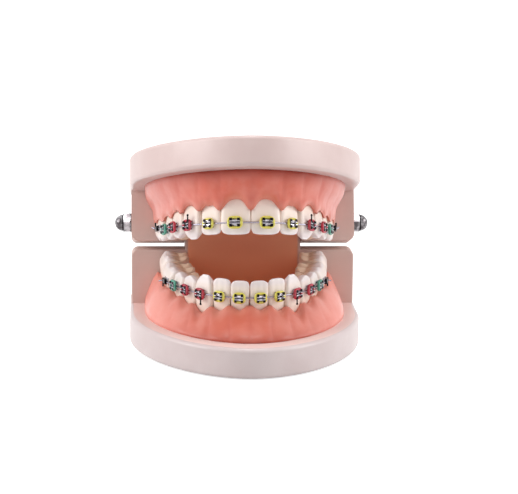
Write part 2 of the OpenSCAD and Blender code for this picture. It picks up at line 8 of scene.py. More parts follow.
# %% Load the CAD model
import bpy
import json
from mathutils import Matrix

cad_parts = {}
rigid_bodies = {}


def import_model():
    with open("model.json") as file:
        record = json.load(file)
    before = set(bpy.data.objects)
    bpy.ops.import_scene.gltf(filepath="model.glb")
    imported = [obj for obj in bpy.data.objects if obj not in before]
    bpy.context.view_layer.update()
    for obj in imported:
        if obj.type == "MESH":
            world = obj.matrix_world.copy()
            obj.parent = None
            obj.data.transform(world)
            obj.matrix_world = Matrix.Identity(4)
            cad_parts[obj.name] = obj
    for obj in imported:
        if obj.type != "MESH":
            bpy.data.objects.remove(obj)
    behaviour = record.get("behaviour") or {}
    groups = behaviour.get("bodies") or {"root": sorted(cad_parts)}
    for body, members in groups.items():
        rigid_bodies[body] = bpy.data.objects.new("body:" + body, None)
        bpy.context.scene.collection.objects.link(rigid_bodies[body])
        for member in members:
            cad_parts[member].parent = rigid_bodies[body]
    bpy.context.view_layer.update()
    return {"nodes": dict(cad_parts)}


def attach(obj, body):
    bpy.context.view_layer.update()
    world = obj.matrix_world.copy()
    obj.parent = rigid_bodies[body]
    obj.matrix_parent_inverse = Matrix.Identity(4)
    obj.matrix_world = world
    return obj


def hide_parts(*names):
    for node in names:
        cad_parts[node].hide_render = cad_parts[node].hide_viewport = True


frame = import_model()

import json
import math
from contextlib import contextmanager

import bmesh
import bpy
import numpy as np
from mathutils import Matrix, Vector
from mathutils.bvhtree import BVHTree

scene = bpy.context.scene
print("CAD nodes:", len(frame["nodes"]))

def new_object(name, data):
    thing = bpy.data.objects.new(name, data)
    scene.collection.objects.link(thing)
    return thing

# %% [markdown]
# ## The camera
# The photograph was taken from the front, slightly from above, with a long lens. The camera's
# place was found from the plates' edges, the nuts and the teeth, so it is written as plain
# numbers. `YAW`, `PITCH` and `ROLL` are turned into the three directions of the camera's own axes.

# %% Camera
W, H = 518, 494
EYE = Vector((-36.019, -700.0, 168.823))
YAW, PITCH, ROLL = -0.0582, 0.1919, 0.0104
FOCAL_PX, SENSOR_MM = 2099.32, 36

def camera_axes(yaw, pitch, roll):
    turn = Matrix.Rotation(yaw, 3, "Z")
    ahead = turn @ Vector((0, math.cos(pitch), -math.sin(pitch)))
    right = turn @ Vector((1, 0, 0))
    up = right.cross(ahead)
    c, s = math.cos(roll), math.sin(roll)
    return c * right + s * up, c * up - s * right, ahead

RIGHT, UP, AHEAD = camera_axes(YAW, PITCH, ROLL)
camera = new_object("camera", bpy.data.cameras.new("camera"))
scene.camera = camera
camera.data.sensor_fit = "AUTO"
camera.data.sensor_width = SENSOR_MM
camera.data.lens = FOCAL_PX / max(W, H) * SENSOR_MM
camera.data.clip_start, camera.data.clip_end = 0.05, 20
camera.matrix_world = Matrix((RIGHT, UP, -AHEAD)).transposed().to_4x4()
camera.location = EYE / 1000
print("lens", round(camera.data.lens, 1), "mm")

def to_image(point):
    """Pixel at which a point in metres shows."""
    d = Vector(point) * 1000 - EYE
    far = d.dot(AHEAD)
    return W / 2 + FOCAL_PX * d.dot(RIGHT) / far, H / 2 - FOCAL_PX * d.dot(UP) / far

# %% [markdown]
# ## Making a piece
# Every piece is a mesh whose points hold its place, so its object stays at the origin. Numbers
# that a material needs, such as how deep a groove is, are stored on the points as attributes.

# %% Mesh helpers
def new_mesh(name, points, edges=(), faces=()):
    mesh = bpy.data.meshes.new(name)
    mesh.from_pydata((np.asarray(points, float) / 1000).tolist(), list(edges),
                     [list(face) for face in faces])
    return mesh

@contextmanager
def edited(mesh):
    """Opens a mesh for bmesh operations and writes it back after them."""
    bm = bmesh.new()
    bm.from_mesh(mesh)
    yield bm
    bm.to_mesh(mesh)
    bm.free()

def make_piece(name, points, faces, material, body, shades):
    mesh = new_mesh(name, points, (), faces)
    for key, values in shades.items():
        layer = mesh.attributes.new(key, "FLOAT", "POINT")
        layer.data.foreach_set("value", np.asarray(values, np.float32).ravel())
    mesh.shade_smooth()
    with edited(mesh) as bm:
        bmesh.ops.remove_doubles(bm, verts=bm.verts, dist=1e-7)
        bmesh.ops.recalc_face_normals(bm, faces=bm.faces)
    mesh.materials.append(material)
    piece = new_object(name, mesh)
    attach(piece, body)
    return piece

def grid_faces(rows, columns, closed=True):
    """Quads of a grid of points; a closed one joins its last column to its first."""
    return [(i * columns + j, i * columns + (j + 1) % columns,
             (i + 1) * columns + (j + 1) % columns, (i + 1) * columns + j)
            for i in range(rows - 1) for j in range(columns if closed else columns - 1)]

def closed_loft(rings):
    """Points and faces of a skin through equal rings, closed with a face at each end."""
    rings = np.array(rings)
    rows, columns = rings.shape[:2]
    faces = grid_faces(rows, columns)
    faces += [tuple(range(columns))[::-1], tuple((rows - 1) * columns + j for j in range(columns))]
    return rings.reshape(-1, 3), faces

def join_shapes(shapes):
    points, faces, start = [], [], 0
    for p, f in shapes:
        points.append(np.asarray(p, float))
        faces += [tuple(start + i for i in face) for face in f]
        start += len(p)
    return np.vstack(points), faces

# %% Curves and steps
def smooth_table(pairs, x):
    """Value at x of a smooth line through pairs that never overshoots them."""
    xs, ys = np.array(pairs, float).T
    slopes = np.diff(ys) / np.diff(xs)
    before, after = slopes[:-1], slopes[1:]
    same = before * after > 0
    inner = np.where(same, 2 * before * after / np.where(same, before + after, 1), 0)
    m = np.concatenate([[slopes[0]], inner, [slopes[-1]]])
    x = np.clip(x, xs[0], xs[-1])
    i = np.clip(np.searchsorted(xs, x) - 1, 0, len(xs) - 2)
    h = xs[i + 1] - xs[i]
    t = (x - xs[i]) / h
    return ((2 * t**3 - 3 * t**2 + 1) * ys[i] + (t**3 - 2 * t**2 + t) * h * m[i]
            + (3 * t**2 - 2 * t**3) * ys[i + 1] + (t**3 - t**2) * h * m[i + 1])

def signed_power(v, e):
    return np.sign(v) * np.abs(v) ** e

def unit(v):
    return np.clip(v, 0, 1)

def bell(v, width):
    """1 at 0, falling off smoothly to both sides."""
    return np.exp(-(v / width) ** 2)

def angles(first, last, count):
    """Equally spaced angles, given in degrees."""
    return np.radians(np.linspace(first, last, count))

def full_turn(count):
    return np.radians(np.arange(count) * 360 / count)

def arc(middle, radii, turns):
    return [(middle[0] + radii[0] * math.cos(t), middle[1] + radii[1] * math.sin(t)) for t in turns]

def columns_of(*parts):
    """One row per point from its coordinates; a single number is used for every row."""
    return np.stack(np.broadcast_arrays(*parts), -1)

def turned_pair(a, b, angle):
    """Two coordinates of a point, turned about the origin."""
    c, s = math.cos(angle), math.sin(angle)
    return a * c + b * s, b * c - a * s

# %% [markdown]
# ## Shader arithmetic
# A finish is a web of shader nodes, and sums are easier to read as sums. `Field` wraps a value
# socket, so `1 - mask * 0.5` adds the Math nodes by itself. `Finish` makes any other node from its
# type. Colours are written as seen on a screen, 0 to 255, and `paint` gives the linear numbers
# that shaders use.

# %% Finish and Field
def paint(*colour):
    return tuple(c / 12.92 if c <= 0.04045 else ((c + 0.055) / 1.055) ** 2.4
                 for c in (part / 255 for part in colour))

class Field:
    def __init__(self, finish, socket):
        self.finish, self.socket = finish, socket

    def math(self, operation, *others):
        values = dict(enumerate((self,) + others))
        return self.finish.node("ShaderNodeMath", {"operation": operation}, values)

    def __add__(self, other): return self.math("ADD", other)
    __radd__ = __add__
    def __mul__(self, other): return self.math("MULTIPLY", other)
    __rmul__ = __mul__
    def __sub__(self, other): return self.math("SUBTRACT", other)
    def __rsub__(self, other): return (self * -1) + other
    def most(self, other): return self.math("MAXIMUM", other)

    def step(self, low, high):
        """0 below low, 1 above high, smooth between."""
        return self.finish.node("ShaderNodeMapRange", {"interpolation_type": "SMOOTHSTEP"},
                                {"Value": self, "From Min": low, "From Max": high})

class Finish:
    def __init__(self, owner):
        owner.use_nodes = True
        self.owner, self.tree = owner, owner.node_tree

    def node(self, kind, settings=None, values=None, output=0):
        made = self.tree.nodes.new(kind)
        for key, value in (settings or {}).items():
            setattr(made, key, value)
        for key, value in (values or {}).items():
            self.feed(made.inputs[key], value)
        return Field(self, made.outputs[output])

    def feed(self, socket, value):
        if isinstance(value, Field):
            self.tree.links.new(value.socket, socket)
        else:
            socket.default_value = (*paint(*value), 1) if socket.type == "RGBA" else value

    def place(self):
        return self.node("ShaderNodeTexCoord", output="Object")

    def axis(self, name):
        """A point's place along X, Y or Z, in millimetres."""
        return self.node("ShaderNodeSeparateXYZ", None, {"Vector": self.place()}, name) * 1000

    def aside(self):
        """How far a point lies to either side of the middle."""
        x = self.axis("X")
        return x.most(x * -1)

    def noise(self, size_mm, detail=3):
        return self.node("ShaderNodeTexNoise", None,
                         {"Vector": self.place(), "Scale": 1000 / size_mm, "Detail": detail})

    def stored(self, name):
        return self.node("ShaderNodeAttribute", {"attribute_name": name}, output="Fac")

    def blend(self, factor, a, b):
        mix = self.tree.nodes.new("ShaderNodeMix")
        mix.data_type = "RGBA"
        for socket, value in ((0, factor), (6, a), (7, b)):
            self.feed(mix.inputs[socket], value)
        return Field(self, mix.outputs[2])

    def coats(self, colour, *coats):
        """Lays one tint after another over a colour; each is a factor and a colour."""
        for factor, tint in coats:
            colour = self.blend(factor, colour, tint)
        return colour

    def bump(self, height, depth_mm, strength):
        return self.node("ShaderNodeBump", None,
                         {"Strength": strength, "Distance": depth_mm / 1000, "Height": height})

    def set(self, **sockets):
        for key, value in sockets.items():
            self.feed(self.tree.nodes["Principled BSDF"].inputs[key.replace("_", " ")], value)
        return self.owner

def new_finish(name):
    return Finish(bpy.data.materials.new(name))

# %% [markdown]
# ## Plastics and metals
# The plates are a pale pinkish cast plastic. Cast plastic isn't one flat colour: the filler clouds
# it a little and its skin has a fine grain. The walls behind the teeth are pinker and a little
# darker with painted shade and painted bounce light from the gums, and the middle between them
# carries a painted brown-orange shade of the deep mouth; `inside` and `throat` are stored on the
# mesh where that is so. The upper plate is tinted a little apart from the lower one, whose `top`
# carries a painted pink bounce light from the gum.

# %% Base plastic
def base_plastic():
    f = new_finish("base_plastic")
    cloud, speck, grain, z = f.noise(14), f.noise(0.8, 2), f.noise(0.35, 2), f.axis("Z")
    inside, upper, clouded = f.stored("inside"), z.step(20, 40), cloud.step(0.35, 0.7)
    plate = f.blend(clouded, f.blend(upper, (209, 192, 191), (213, 188, 184)),
                    f.blend(upper, (215, 200, 199), (219, 196, 192)))
    # Painted shade and pink bounce light: the walls and lobes are pinker and a little darker.
    colour = f.coats(plate, (inside, f.blend(clouded, (210, 182, 173), (216, 190, 182))),
                     (speck.step(0.55, 0.8) * 0.25, (206, 184, 178)),
                     # Painted pink bounce light from the gum on the lower plate's top.
                     (f.stored("top"), (236, 210, 204)))
    # Painted shade of the deep mouth, tinted by bounce light from the gums, more orange lower down.
    throat = (f.stored("throat") + (cloud - 0.5) * 0.12).step(0.05, 0.95)
    painted_throat_shade = f.blend(z.step(12, 34), (250, 166, 116), (250, 178, 140))
    return f.set(Base_Color=f.blend(throat, colour, painted_throat_shade),
                 Roughness=0.33 + speck * 0.12 + inside * 0.2,
                 Coat_Weight=(1 - inside) * 0.15, Coat_Roughness=0.25,
                 Normal=f.bump(grain + cloud * 2, 0.02, 0.35))

BASE = base_plastic()

# %% [markdown]
# The gums are a salmon resin, paler and pinker at the margins round the teeth. Painted side light
# makes them pinker at the sides and painted shade darker in the middle, darker still on the upper
# gum. Painted shade reddens the folds between the roots and the points between the teeth, and
# browns the floor of the lower mouth. At the foot, where it meets the plate, it is dull, and a
# painted shadow makes it dark. Masks for the margins, the folds, the floor and the foot are stored
# on the mesh.

# %% Gum resin
def gum_resin():
    f = new_finish("gum_resin")
    cloud, mottle, stipple = f.noise(7), f.noise(1.3), f.noise(0.9, 2)
    upper, foot = f.axis("Z").step(32, 40), f.stored("foot")
    # Painted light: a darker middle and paler, pinker sides; the upper gum is painted darker, as in its
    # plate's shade.
    middle = f.blend(upper, (219, 114, 92), (224, 103, 78))
    sides = f.blend(upper, (241, 145, 130), (217, 118, 104))
    colour = f.coats(f.blend(f.aside().step(10, 32), middle, sides),
                     (cloud.step(0.3, 0.7) * 0.2, (250, 186, 172)),
                     # Painted shade: redder in the folds between the roots and at the points between the
                     # teeth.
                     (f.stored("fold").step(0, 1) * 0.65, (196, 84, 66)),
                     (f.stored("margin").step(0.1, 1) * 0.5, (232, 146, 128)),
                     # Painted shadow at the foot, under the plate's rim.
                     (foot, (150, 46, 28)),
                     # Painted shade of the deep mouth on the lower gum's floor.
                     (f.stored("inside") * 0.6, (196, 112, 82)),
                     (mottle.step(0.55, 0.85) * 0.18, (205, 104, 92)))
    return f.set(Base_Color=colour, Roughness=0.3 + mottle * 0.14 + foot * 0.3,
                 Coat_Weight=(1 - foot) * 0.25, Coat_Roughness=0.22,
                 Normal=f.bump(stipple, 0.05, 0.4))

GUM = gum_resin()

# %% [markdown]
# The teeth are ivory resin: warm near the gum, whiter on the body, and a little grey and clear
# towards the biting edge, whose very edge carries a painted white highlight. Painted shade makes
# the grooves and the tongue side of the back teeth tan, and painted light makes the front ones,
# the upper most of all, palest.

# %% Tooth resin
def tooth_resin():
    f = new_finish("tooth_resin")
    height, cloud, ripple = f.stored("height"), f.noise(2.2), f.noise(1.6, 2)
    front, upper = 1 - f.aside().step(9, 22), f.axis("Z").step(32, 40)
    colour = f.coats(f.blend(height.step(0, 0.6), (244, 224, 209), (243, 229, 221)),
                     # Painted light: the front teeth, the upper most of all, are palest.
                     (front * (0.4 + upper * 0.6), (254, 240, 229)),
                     (height.step(0.7, 0.9) * 0.5, (232, 224, 230)),
                     # Painted highlight: white along the very biting edge.
                     (height.step(0.92, 1), (248, 242, 242)),
                     (cloud.step(0.45, 0.8) * 0.25, (240, 226, 216)),
                     # Painted shade: tan on the tongue side of the back teeth and in their grooves.
                     (f.stored("basin") * 0.8, (234, 206, 174)),
                     (f.stored("groove").step(0.2, 1) * 0.7, (190, 150, 110)))
    return f.set(Base_Color=colour, Roughness=0.34 + cloud * 0.1, Coat_Weight=0.1,
                 Coat_Roughness=0.2, Normal=f.bump(ripple, 0.05, 0.3))

TOOTH = tooth_resin()

# %% [markdown]
# Brackets are cast steel with a random tone, and a painted dark reflection on the fronts of the
# wing tips and the tube ends. The wire is drawn and smooth, the nuts are plated, with a painted
# mottle of reflection and painted shade in their creases, and the ties are tinted elastic.

# %% Metals and elastics
def steel(name, dark, bright, rough, grain_mm):
    """Steel with a random tone; where the mesh stores its dark mark it is painted dark: dark reflection on
    brackets and tubes, crease shade on the nuts.
    """
    f = new_finish(name)
    # Random tone: wear on brackets and wire, and with the nuts' strong contrast a painted reflection.
    wear_and_reflection = f.noise(grain_mm)
    # Painted dark where the mesh marks it: dark reflection or crease shade.
    colour = f.coats(f.blend(wear_and_reflection.step(0.35, 0.65), dark, bright), (f.stored("wing"), (30, 26, 30)))
    return f.set(Base_Color=colour, Metallic=1.0, Roughness=rough + wear_and_reflection * 0.15,
                 Normal=f.bump(wear_and_reflection, 0.01, 0.3))

def elastic(name, colour, deep):
    f = new_finish(name)
    cloud = f.noise(1.1, 2)
    return f.set(Base_Color=f.blend(cloud.step(0.3, 0.75), colour, deep),
                 Roughness=0.3 + cloud * 0.15, Coat_Weight=0.3, Coat_Roughness=0.2,
                 Normal=f.bump(cloud, 0.02, 0.3))

BRACKET = steel("bracket_steel", (170, 166, 172), (216, 212, 218), 0.14, 0.9)
WIRE = steel("archwire_steel", (132, 129, 142), (164, 160, 174), 0.15, 0.4)
# Painted reflection: the nut plating's strong dark and bright mottle.
CHROME = steel("nut_plating", (80, 75, 77), (182, 178, 181), 0.1, 2.0)
YELLOW = elastic("yellow_elastic", (236, 228, 104), (222, 210, 76))
RED = elastic("red_elastic", (198, 30, 58), (150, 18, 44))
GREEN = elastic("green_elastic", (92, 174, 150), (48, 130, 110))
print("finishes:", len(bpy.data.materials))

# %% [markdown]
# ## The arch
# Both rows of teeth stand along a smooth arch, close to half an ellipse. Everything that sits on
# the jaws is placed by its length along this line and its distance out from it, as in the CAD
# model.

# %% Arch lines
HINGE_Y, HINGE_Z, OPEN = 24.3, 36.5, math.radians(16)
PLATE_H, UPPER_FACE, WALL_Y, REAR_Y = 10.0, 46.7, 14.2, 31.4
CLOSED_H = UPPER_FACE + PLATE_H
ARCH_MID, BITE_Z, TUBE_RISE, TUBE_SHIFT = 12.0, 27.0, 0.9, -0.18
FIRST_MOLAR = 5

def half_arch(half_w, front, power, middle_y, end_y):
    """The right half of an arch, from its middle back: x, y and the length so far."""
    t = angles(0, 90, 91)
    x = np.append(half_w * np.sin(t) ** (2 / power), half_w)
    y = np.append(middle_y - (middle_y - front) * np.cos(t) ** (2 / power), end_y)
    return x, y, np.append(0, np.cumsum(np.hypot(np.diff(x), np.diff(y))))

def on_arch(arch, s):
    """Points at lengths s; negative ones lie on the left half."""
    x, y, run = arch
    s = np.asarray(s, float)
    side = np.where(s < 0, -1.0, 1.0)
    return columns_of(side * np.interp(abs(s), run, x), np.interp(abs(s), run, y))

class Jaw:
    """One jaw's sizes, in the pose of the closed jaws. Lists run from the central incisor back."""
    def __init__(self, arch, tip_rise, wire_rise, **sizes):
        for key, value in sizes.items():
            setattr(self, key, np.array(value, float) if isinstance(value, list) else value)
        self.arch = half_arch(*arch, ARCH_MID, REAR_Y)
        self.end = self.arch[2][-2] + WALL_Y - self.arch[1][-2]
        self.tips = BITE_Z + np.array(tip_rise)
        self.tilts = np.radians(self.tilts)
        self.wire_z = np.full(7, BITE_Z + wire_rise)
        if self.sign > 0:
            self.wire_z[FIRST_MOLAR] += TUBE_RISE
        self.starts = np.append(0, np.cumsum(self.widths))
        self.middles = self.starts[:-1] + self.widths / 2
        self.gum_line = self.tips + self.sign * self.crowns
        turns = np.arctan2(*self.along(self.starts).T[::-1])
        self.bends = abs(np.diff(turns)) / self.widths

    def at(self, s):
        return on_arch(self.arch, s)

    def along(self, s):
        d = self.at(np.asarray(s) + 0.45) - self.at(np.asarray(s) - 0.45)
        return d / np.linalg.norm(d, axis=-1, keepdims=True)

    def outward(self, s):
        d = self.along(s)
        return columns_of(d[..., 1], -d[..., 0])

    def pose(self, points):
        """Closed points to the photograph's pose: the upper jaw turns about the hinge pin."""
        p = np.array(points, float).reshape(-1, 3)
        if self.name == "upper":
            y, z = turned_pair(p[:, 1] - HINGE_Y, p[:, 2] - HINGE_Z, OPEN)
            p[:, 1], p[:, 2] = HINGE_Y + y, HINGE_Z + z
        return p

    def on_tooth(self, i, side, points, tilted=True):
        """From a tooth's own frame (x back along the arch, -y to the cheek, z up from the tip)."""
        x, y, z = np.array(points, float).reshape(-1, 3).T
        if tilted:
            x, z = turned_pair(x, z, self.tilts[i] * self.sign)
        c, d = self.at(self.middles[i]), self.along(self.middles[i])
        return self.pose(columns_of((c[0] + x * d[0] - y * d[1]) * side,
                                    c[1] + x * d[1] + y * d[0], self.tips[i] - self.sign * z))

LOWER = Jaw(name="lower", sign=-1, plate_z=PLATE_H, arch=(24.4, -30.3, 1.92), wire_rise=-4.8,
            widths=[5.4, 5.8, 6.9, 7.0, 7.1, 11.0, 10.0], tilts=[0, 0, 0, 0, 0, 6, 7],
            depths=[6.0, 6.3, 7.8, 7.9, 8.4, 10.2, 9.8], leans=[0, 0, 0, 0.2, 0.4, 1.3, 1.5],
            tip_rise=[0.6, 0.9, 1.1, -0.2, -0.5, 0.2, 2.0],
            crowns=[9.2, 9.7, 11.4, 8.8, 7.9, 6.8, 6.6],
            bare=[0.3, 0.8, 1.0, 0.4, 0.2, 0.5, 1.6], scallop=0.95,
            papilla=[0.6, 0.6, 0.6, 0.55, 0.45, 0.45, 0.45, 0.25])
UPPER = Jaw(name="upper", sign=1, plate_z=UPPER_FACE, arch=(25.5, -33.4, 2.22), wire_rise=3.6,
            widths=[8.7, 6.8, 7.6, 7.0, 6.8, 10.2, 9.2], tilts=[0, 0, 0, 0, 2, 5, 7],
            depths=[7.2, 6.3, 8.1, 8.9, 9.0, 11.0, 10.6], leans=[0] * 7,
            tip_rise=[-0.2, 0.1, -0.8, 0, 0.1, 0.5, 2.3],
            crowns=[11.2, 9.2, 10.9, 8.6, 7.9, 7.1, 6.2],
            bare=[0.1, 0, 0, 0, 0, 0, 0], scallop=2.0,
            papilla=[1.28, 0.85, 0.65, 0.6, 0.5, 0.5, 0.5, 0.25])
JAWS = (LOWER, UPPER)
SIDES = (("left", -1), ("right", 1))
KINDS = ("central", "lateral", "canine", "premolar_1", "premolar_2", "molar_1", "molar_2")
print("arch lengths", round(LOWER.end, 1), round(UPPER.end, 1))

# %% [markdown]
# ## The two bases
# Each base is a thick plate with a curved front. The lower one carries a wall with a broad tongue
# in its middle, and the upper one has two lobes that hang beside the tongue and hold the hinge
# pin. A moulded block has no sharp edge, so rings of a smaller outline round the plates, and a
# Bevel modifier rounds the blocks. The blocks start sunk in the plates, and a skin gap keeps two
# faces from lying in one plane, which would render as dark patches.

# %% Plates
PLATE_HALF_W, PLATE_FRONT, PLATE_POWER, PLATE_ROUND = 39.1, 53.7, 1.83, 1.4
WALL_HALF_W, WALL_TOP, WALL_DEPTH, WALL_ROUND = 38.6, 28.9, 7.0, 2.4
TONGUE_HALF_W, TONGUE_GAP, TONGUE_CLEAR, LOBE_R, HINGE_BACK = 20.0, 0.25, 0.4, 7.1, 10.1
SUNK, SKIN_GAP, BLOCK_ROUND = 5.0, 0.03, 0.45

def plate_outline(inset):
    w, front, rear = PLATE_HALF_W - inset, PLATE_FRONT - inset, REAR_Y - inset
    t = angles(0, 180, 121)
    curve = columns_of(-w * signed_power(np.cos(t), 2 / PLATE_POWER),
                       -front * np.sin(t) ** (2 / PLATE_POWER))
    sides, back = np.linspace(rear, 2, 8), np.linspace(w - 2, 2 - w, 20)
    return np.vstack([columns_of(-w, sides), curve, columns_of(w, sides[::-1]),
                      columns_of(back, rear)])

def plate_rings():
    steps = angles(0, 90, 9)
    into, rise = PLATE_ROUND * (1 - np.sin(steps)), PLATE_ROUND * (1 - np.cos(steps))
    rings = list(zip(into, rise)) + list(zip(rise, PLATE_H - into))
    return np.array([[(x, y, z) for x, y in plate_outline(inset)] for inset, z in rings])

# %% Walls, tongue and lobes
def prism_across(outline, xs, lowest=lambda x: -math.inf):
    """A shape drawn in y and z, extruded along xs; lowest(x) cuts it off from below."""
    return closed_loft([[(x, y, max(z, lowest(x))) for y, z in outline] for x in xs])

def wall_outline():
    corner = arc((WALL_HALF_W - WALL_ROUND, WALL_TOP - WALL_ROUND), (WALL_ROUND, WALL_ROUND),
                 angles(0, 90, 9))
    right = [(WALL_HALF_W, PLATE_H - SUNK)] + corner
    return right + [(-x, z) for x, z in reversed(right)]

def tongue_outline():
    rise, low = UPPER_FACE - TONGUE_CLEAR - HINGE_Z, PLATE_H - SUNK
    top = arc((HINGE_Y, HINGE_Z), (HINGE_BACK, rise),
              np.linspace(math.pi, math.acos(LOBE_R / HINGE_BACK), 37))
    front = [(WALL_Y - SKIN_GAP, z) for z in np.linspace(low, HINGE_Z - 1, 30)]
    return [(min(y, REAR_Y - SKIN_GAP), z) for y, z in front + top + [(REAR_Y, low)]]

def lobe_outline():
    top, end = UPPER_FACE + SUNK, arc((HINGE_Y, HINGE_Z), (LOBE_R, LOBE_R), angles(-90, 0, 25))
    outline = [(WALL_Y, top), (WALL_Y, HINGE_Z - LOBE_R)] + end + [(REAR_Y, top)]
    return [(min(y, REAR_Y - SKIN_GAP), z) for y, z in outline]

def lobe_bottom(x):
    """The lobes' lower outer corners are rounded like the wall's."""
    into = min(max(0.0, abs(x) - (WALL_HALF_W - WALL_ROUND)), WALL_ROUND)
    return HINGE_Z - LOBE_R + WALL_ROUND - math.sqrt(WALL_ROUND ** 2 - into ** 2)

def soften(piece):
    bevel = piece.modifiers.new("rounded_edges", "BEVEL")
    bevel.width, bevel.segments = BLOCK_ROUND / 1000, 3
    bevel.limit_method, bevel.angle_limit = "ANGLE", math.radians(35)
    bevel.harden_normals = True

def throat_shade(points):
    """1 on the tongue's front between the rows of teeth, where a painted brown-orange shade stands for the
    deep mouth.
    """
    x, y, z = np.asarray(points).T
    return (y < WALL_Y + 0.05) * unit(TONGUE_HALF_W - 0.4 - abs(x)) * (z > 8)

def base_piece(name, plate, walls, body, pose):
    """A plate and its walls in one mesh; the walls are marked as inside."""
    points, faces = join_shapes([plate] + walls)
    # The walls' mark carries painted shade and bounce light, the plate top's mark painted bounce light.
    inside = np.arange(len(points)) >= len(plate[0])
    top = (abs(points[:, 2] - PLATE_H) < 0.02) & ~inside
    return make_piece(name, pose(points), faces, BASE, body, {"inside": inside, "top": top})

plate = plate_rings()
wall = closed_loft([[(x, y, z) for x, z in wall_outline()] for y in (WALL_Y, WALL_Y + WALL_DEPTH)])
lower_plate = base_piece("lower_plate_and_wall", closed_loft(plate), [wall], "lower", LOWER.pose)
tongue_xs = [-20, -19.4, -18.6, *np.linspace(-17, 17, 18), 18.6, 19.4, TONGUE_HALF_W]
points, faces = prism_across(tongue_outline(), tongue_xs)
tongue = make_piece("hinge_tongue", points, faces, BASE, "lower",
                    {"throat": throat_shade(points), "inside": np.ones(len(points))})
outer = WALL_HALF_W - WALL_ROUND * (1 - np.sin(angles(0, 90, 9)))
lobe_xs = np.append(TONGUE_HALF_W + TONGUE_GAP, outer)
lobes = [prism_across(lobe_outline(), side * lobe_xs, lobe_bottom) for side in (-1, 1)]
flipped = closed_loft(plate * (1, 1, -1) + (0, 0, CLOSED_H))
upper_plate = base_piece("upper_plate_and_lobes", flipped, lobes, "upper", UPPER.pose)
for piece in (lower_plate, tongue, upper_plate):
    soften(piece)
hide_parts("lower_base")
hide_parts("lower_base")
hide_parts("upper_base")
print("base points:", len(lower_plate.data.vertices), len(upper_plate.data.vertices))

# %% [markdown]
# ## The teeth
# A tooth is a stack of rounded rings, from the root end to the biting edge. Tables give each
# ring's half width and the place of its cheek and tongue faces, as shares of the tooth's own width
# and depth, so one table serves all teeth of a kind. The arch bends, so each tooth is a wedge:
# wider on the cheek side by as much as the arch turns along it, and its neighbours touch from
# front to back. The lower back teeth also lean towards the tongue. Back teeth get a chewing
# surface made from cones: each cusp is a soft cone, the highest cone wins, and where two are
# equally high a groove runs.

# %% Crown tables
# Each row: height (-1 at the neck, 0 at the tip), half width, cheek face, tongue face
NECK = [(-1.06, 0.45, -0.43, 0.44), (-0.74, 0.49, -0.465, 0.45)]
INCISOR = [(-0.42, 0.503, -0.465, 0.30), (-0.17, 0.50, -0.445, 0.02), (-0.02, 0.44, -0.40, -0.22)]
CANINE = [(-0.44, 0.503, -0.485, 0.37), (-0.27, 0.46, -0.45, 0.19), (-0.10, 0.34, -0.37, -0.05),
          (-0.01, 0.2, -0.29, -0.16)]
MOLAR = [(-0.46, 0.503, -0.49, 0.49), (-0.2, 0.492, -0.445, 0.435)]
# Each cusp: its place in shares of half width and half depth, its height and its slope
PREMOLAR_CUSPS = [(0, -0.60, 0.05, 0.42), (0, 0.56, -0.5, 0.45), (-0.7, 0, -0.85, 0.5),
                  (0.7, 0, -0.85, 0.5)]
MOLAR_CUSPS = [(-0.5, -0.68, 0, 0.36), (0.5, -0.68, -0.05, 0.36), (-0.48, 0.64, -0.4, 0.5),
               (0.45, 0.62, -0.45, 0.5), (-1, -0.4, -0.55, 0.35), (1, -0.4, -0.55, 0.35)]
COLUMNS, ROOT_BED, CUSP_SOFT, GROOVE_W = 48, 2.6, 0.10, 0.16
CORNER_DROP, LOBE_DEPTH, CHEEK_SWELL, TONGUE_SWELL = 0.85, 0.07, -0.12, 0.5

def crown_table(i):
    return NECK + (INCISOR if i < 2 else CANINE if i == 2 else MOLAR)

def unit_ring(cheek, tongue_side):
    """Evenly spaced points round a ring from -1 to 1; a low power makes its corners squarer."""
    t = angles(0, 360, 721)
    e = np.where(np.sin(t) < 0, cheek, tongue_side)
    u, v = signed_power(np.cos(t), e), signed_power(np.sin(t), e)
    run = np.append(0, np.cumsum(np.hypot(np.diff(u), np.diff(v))))
    even = np.arange(COLUMNS) * run[-1] / COLUMNS
    return np.interp(even, run, u), np.interp(even, run, v)

FRONT_RING, BACK_RING = unit_ring(0.42, 0.95), unit_ring(0.45, 0.8)

def tooth_ring(i, half_w, y0, y1, z):
    """Front teeth are widest near the cheek face, where they touch their neighbours."""
    u, v = FRONT_RING if i < 3 else BACK_RING
    widest = y0 + (0.36 if i < 3 else 0.5) * (y1 - y0)
    y = widest + np.where(v < 0, widest - y0, y1 - widest) * v
    return columns_of(half_w * u, y, z)

def cheek_face(jaw, i, z):
    """How far the cheek face stands out at height z under the tip."""
    face = [(row[0], row[2]) for row in crown_table(i)]
    return -jaw.depths[i] * smooth_table(face, z / jaw.crowns[i])

def chewing_height(i, u, v, w, d):
    """Height and groove depth at shares u, v of the half width and half depth."""
    heights = []
    for cu, cv, top, slope in (PREMOLAR_CUSPS if i < 5 else MOLAR_CUSPS):
        dx, dy = (u - cu) * w / 2, (v - cv) * d / 2
        toward = np.array([-cu * w, -cv * d]) / max(np.hypot(cu * w, cv * d), 1e-6)
        along, across = dx * toward[0] + dy * toward[1], dx * toward[1] - dy * toward[0]
        far = np.sqrt((0.9 * along) ** 2 + (1.2 * across) ** 2 + 0.36) - 0.6
        heights.append(top - slope * far)
    h = np.sort(np.array(heights), axis=0)
    soft_top = CUSP_SOFT * np.log(np.exp(np.array(heights) / CUSP_SOFT).sum(0))
    return soft_top, np.exp(-(h[-1] - h[-2]) / GROOVE_W)

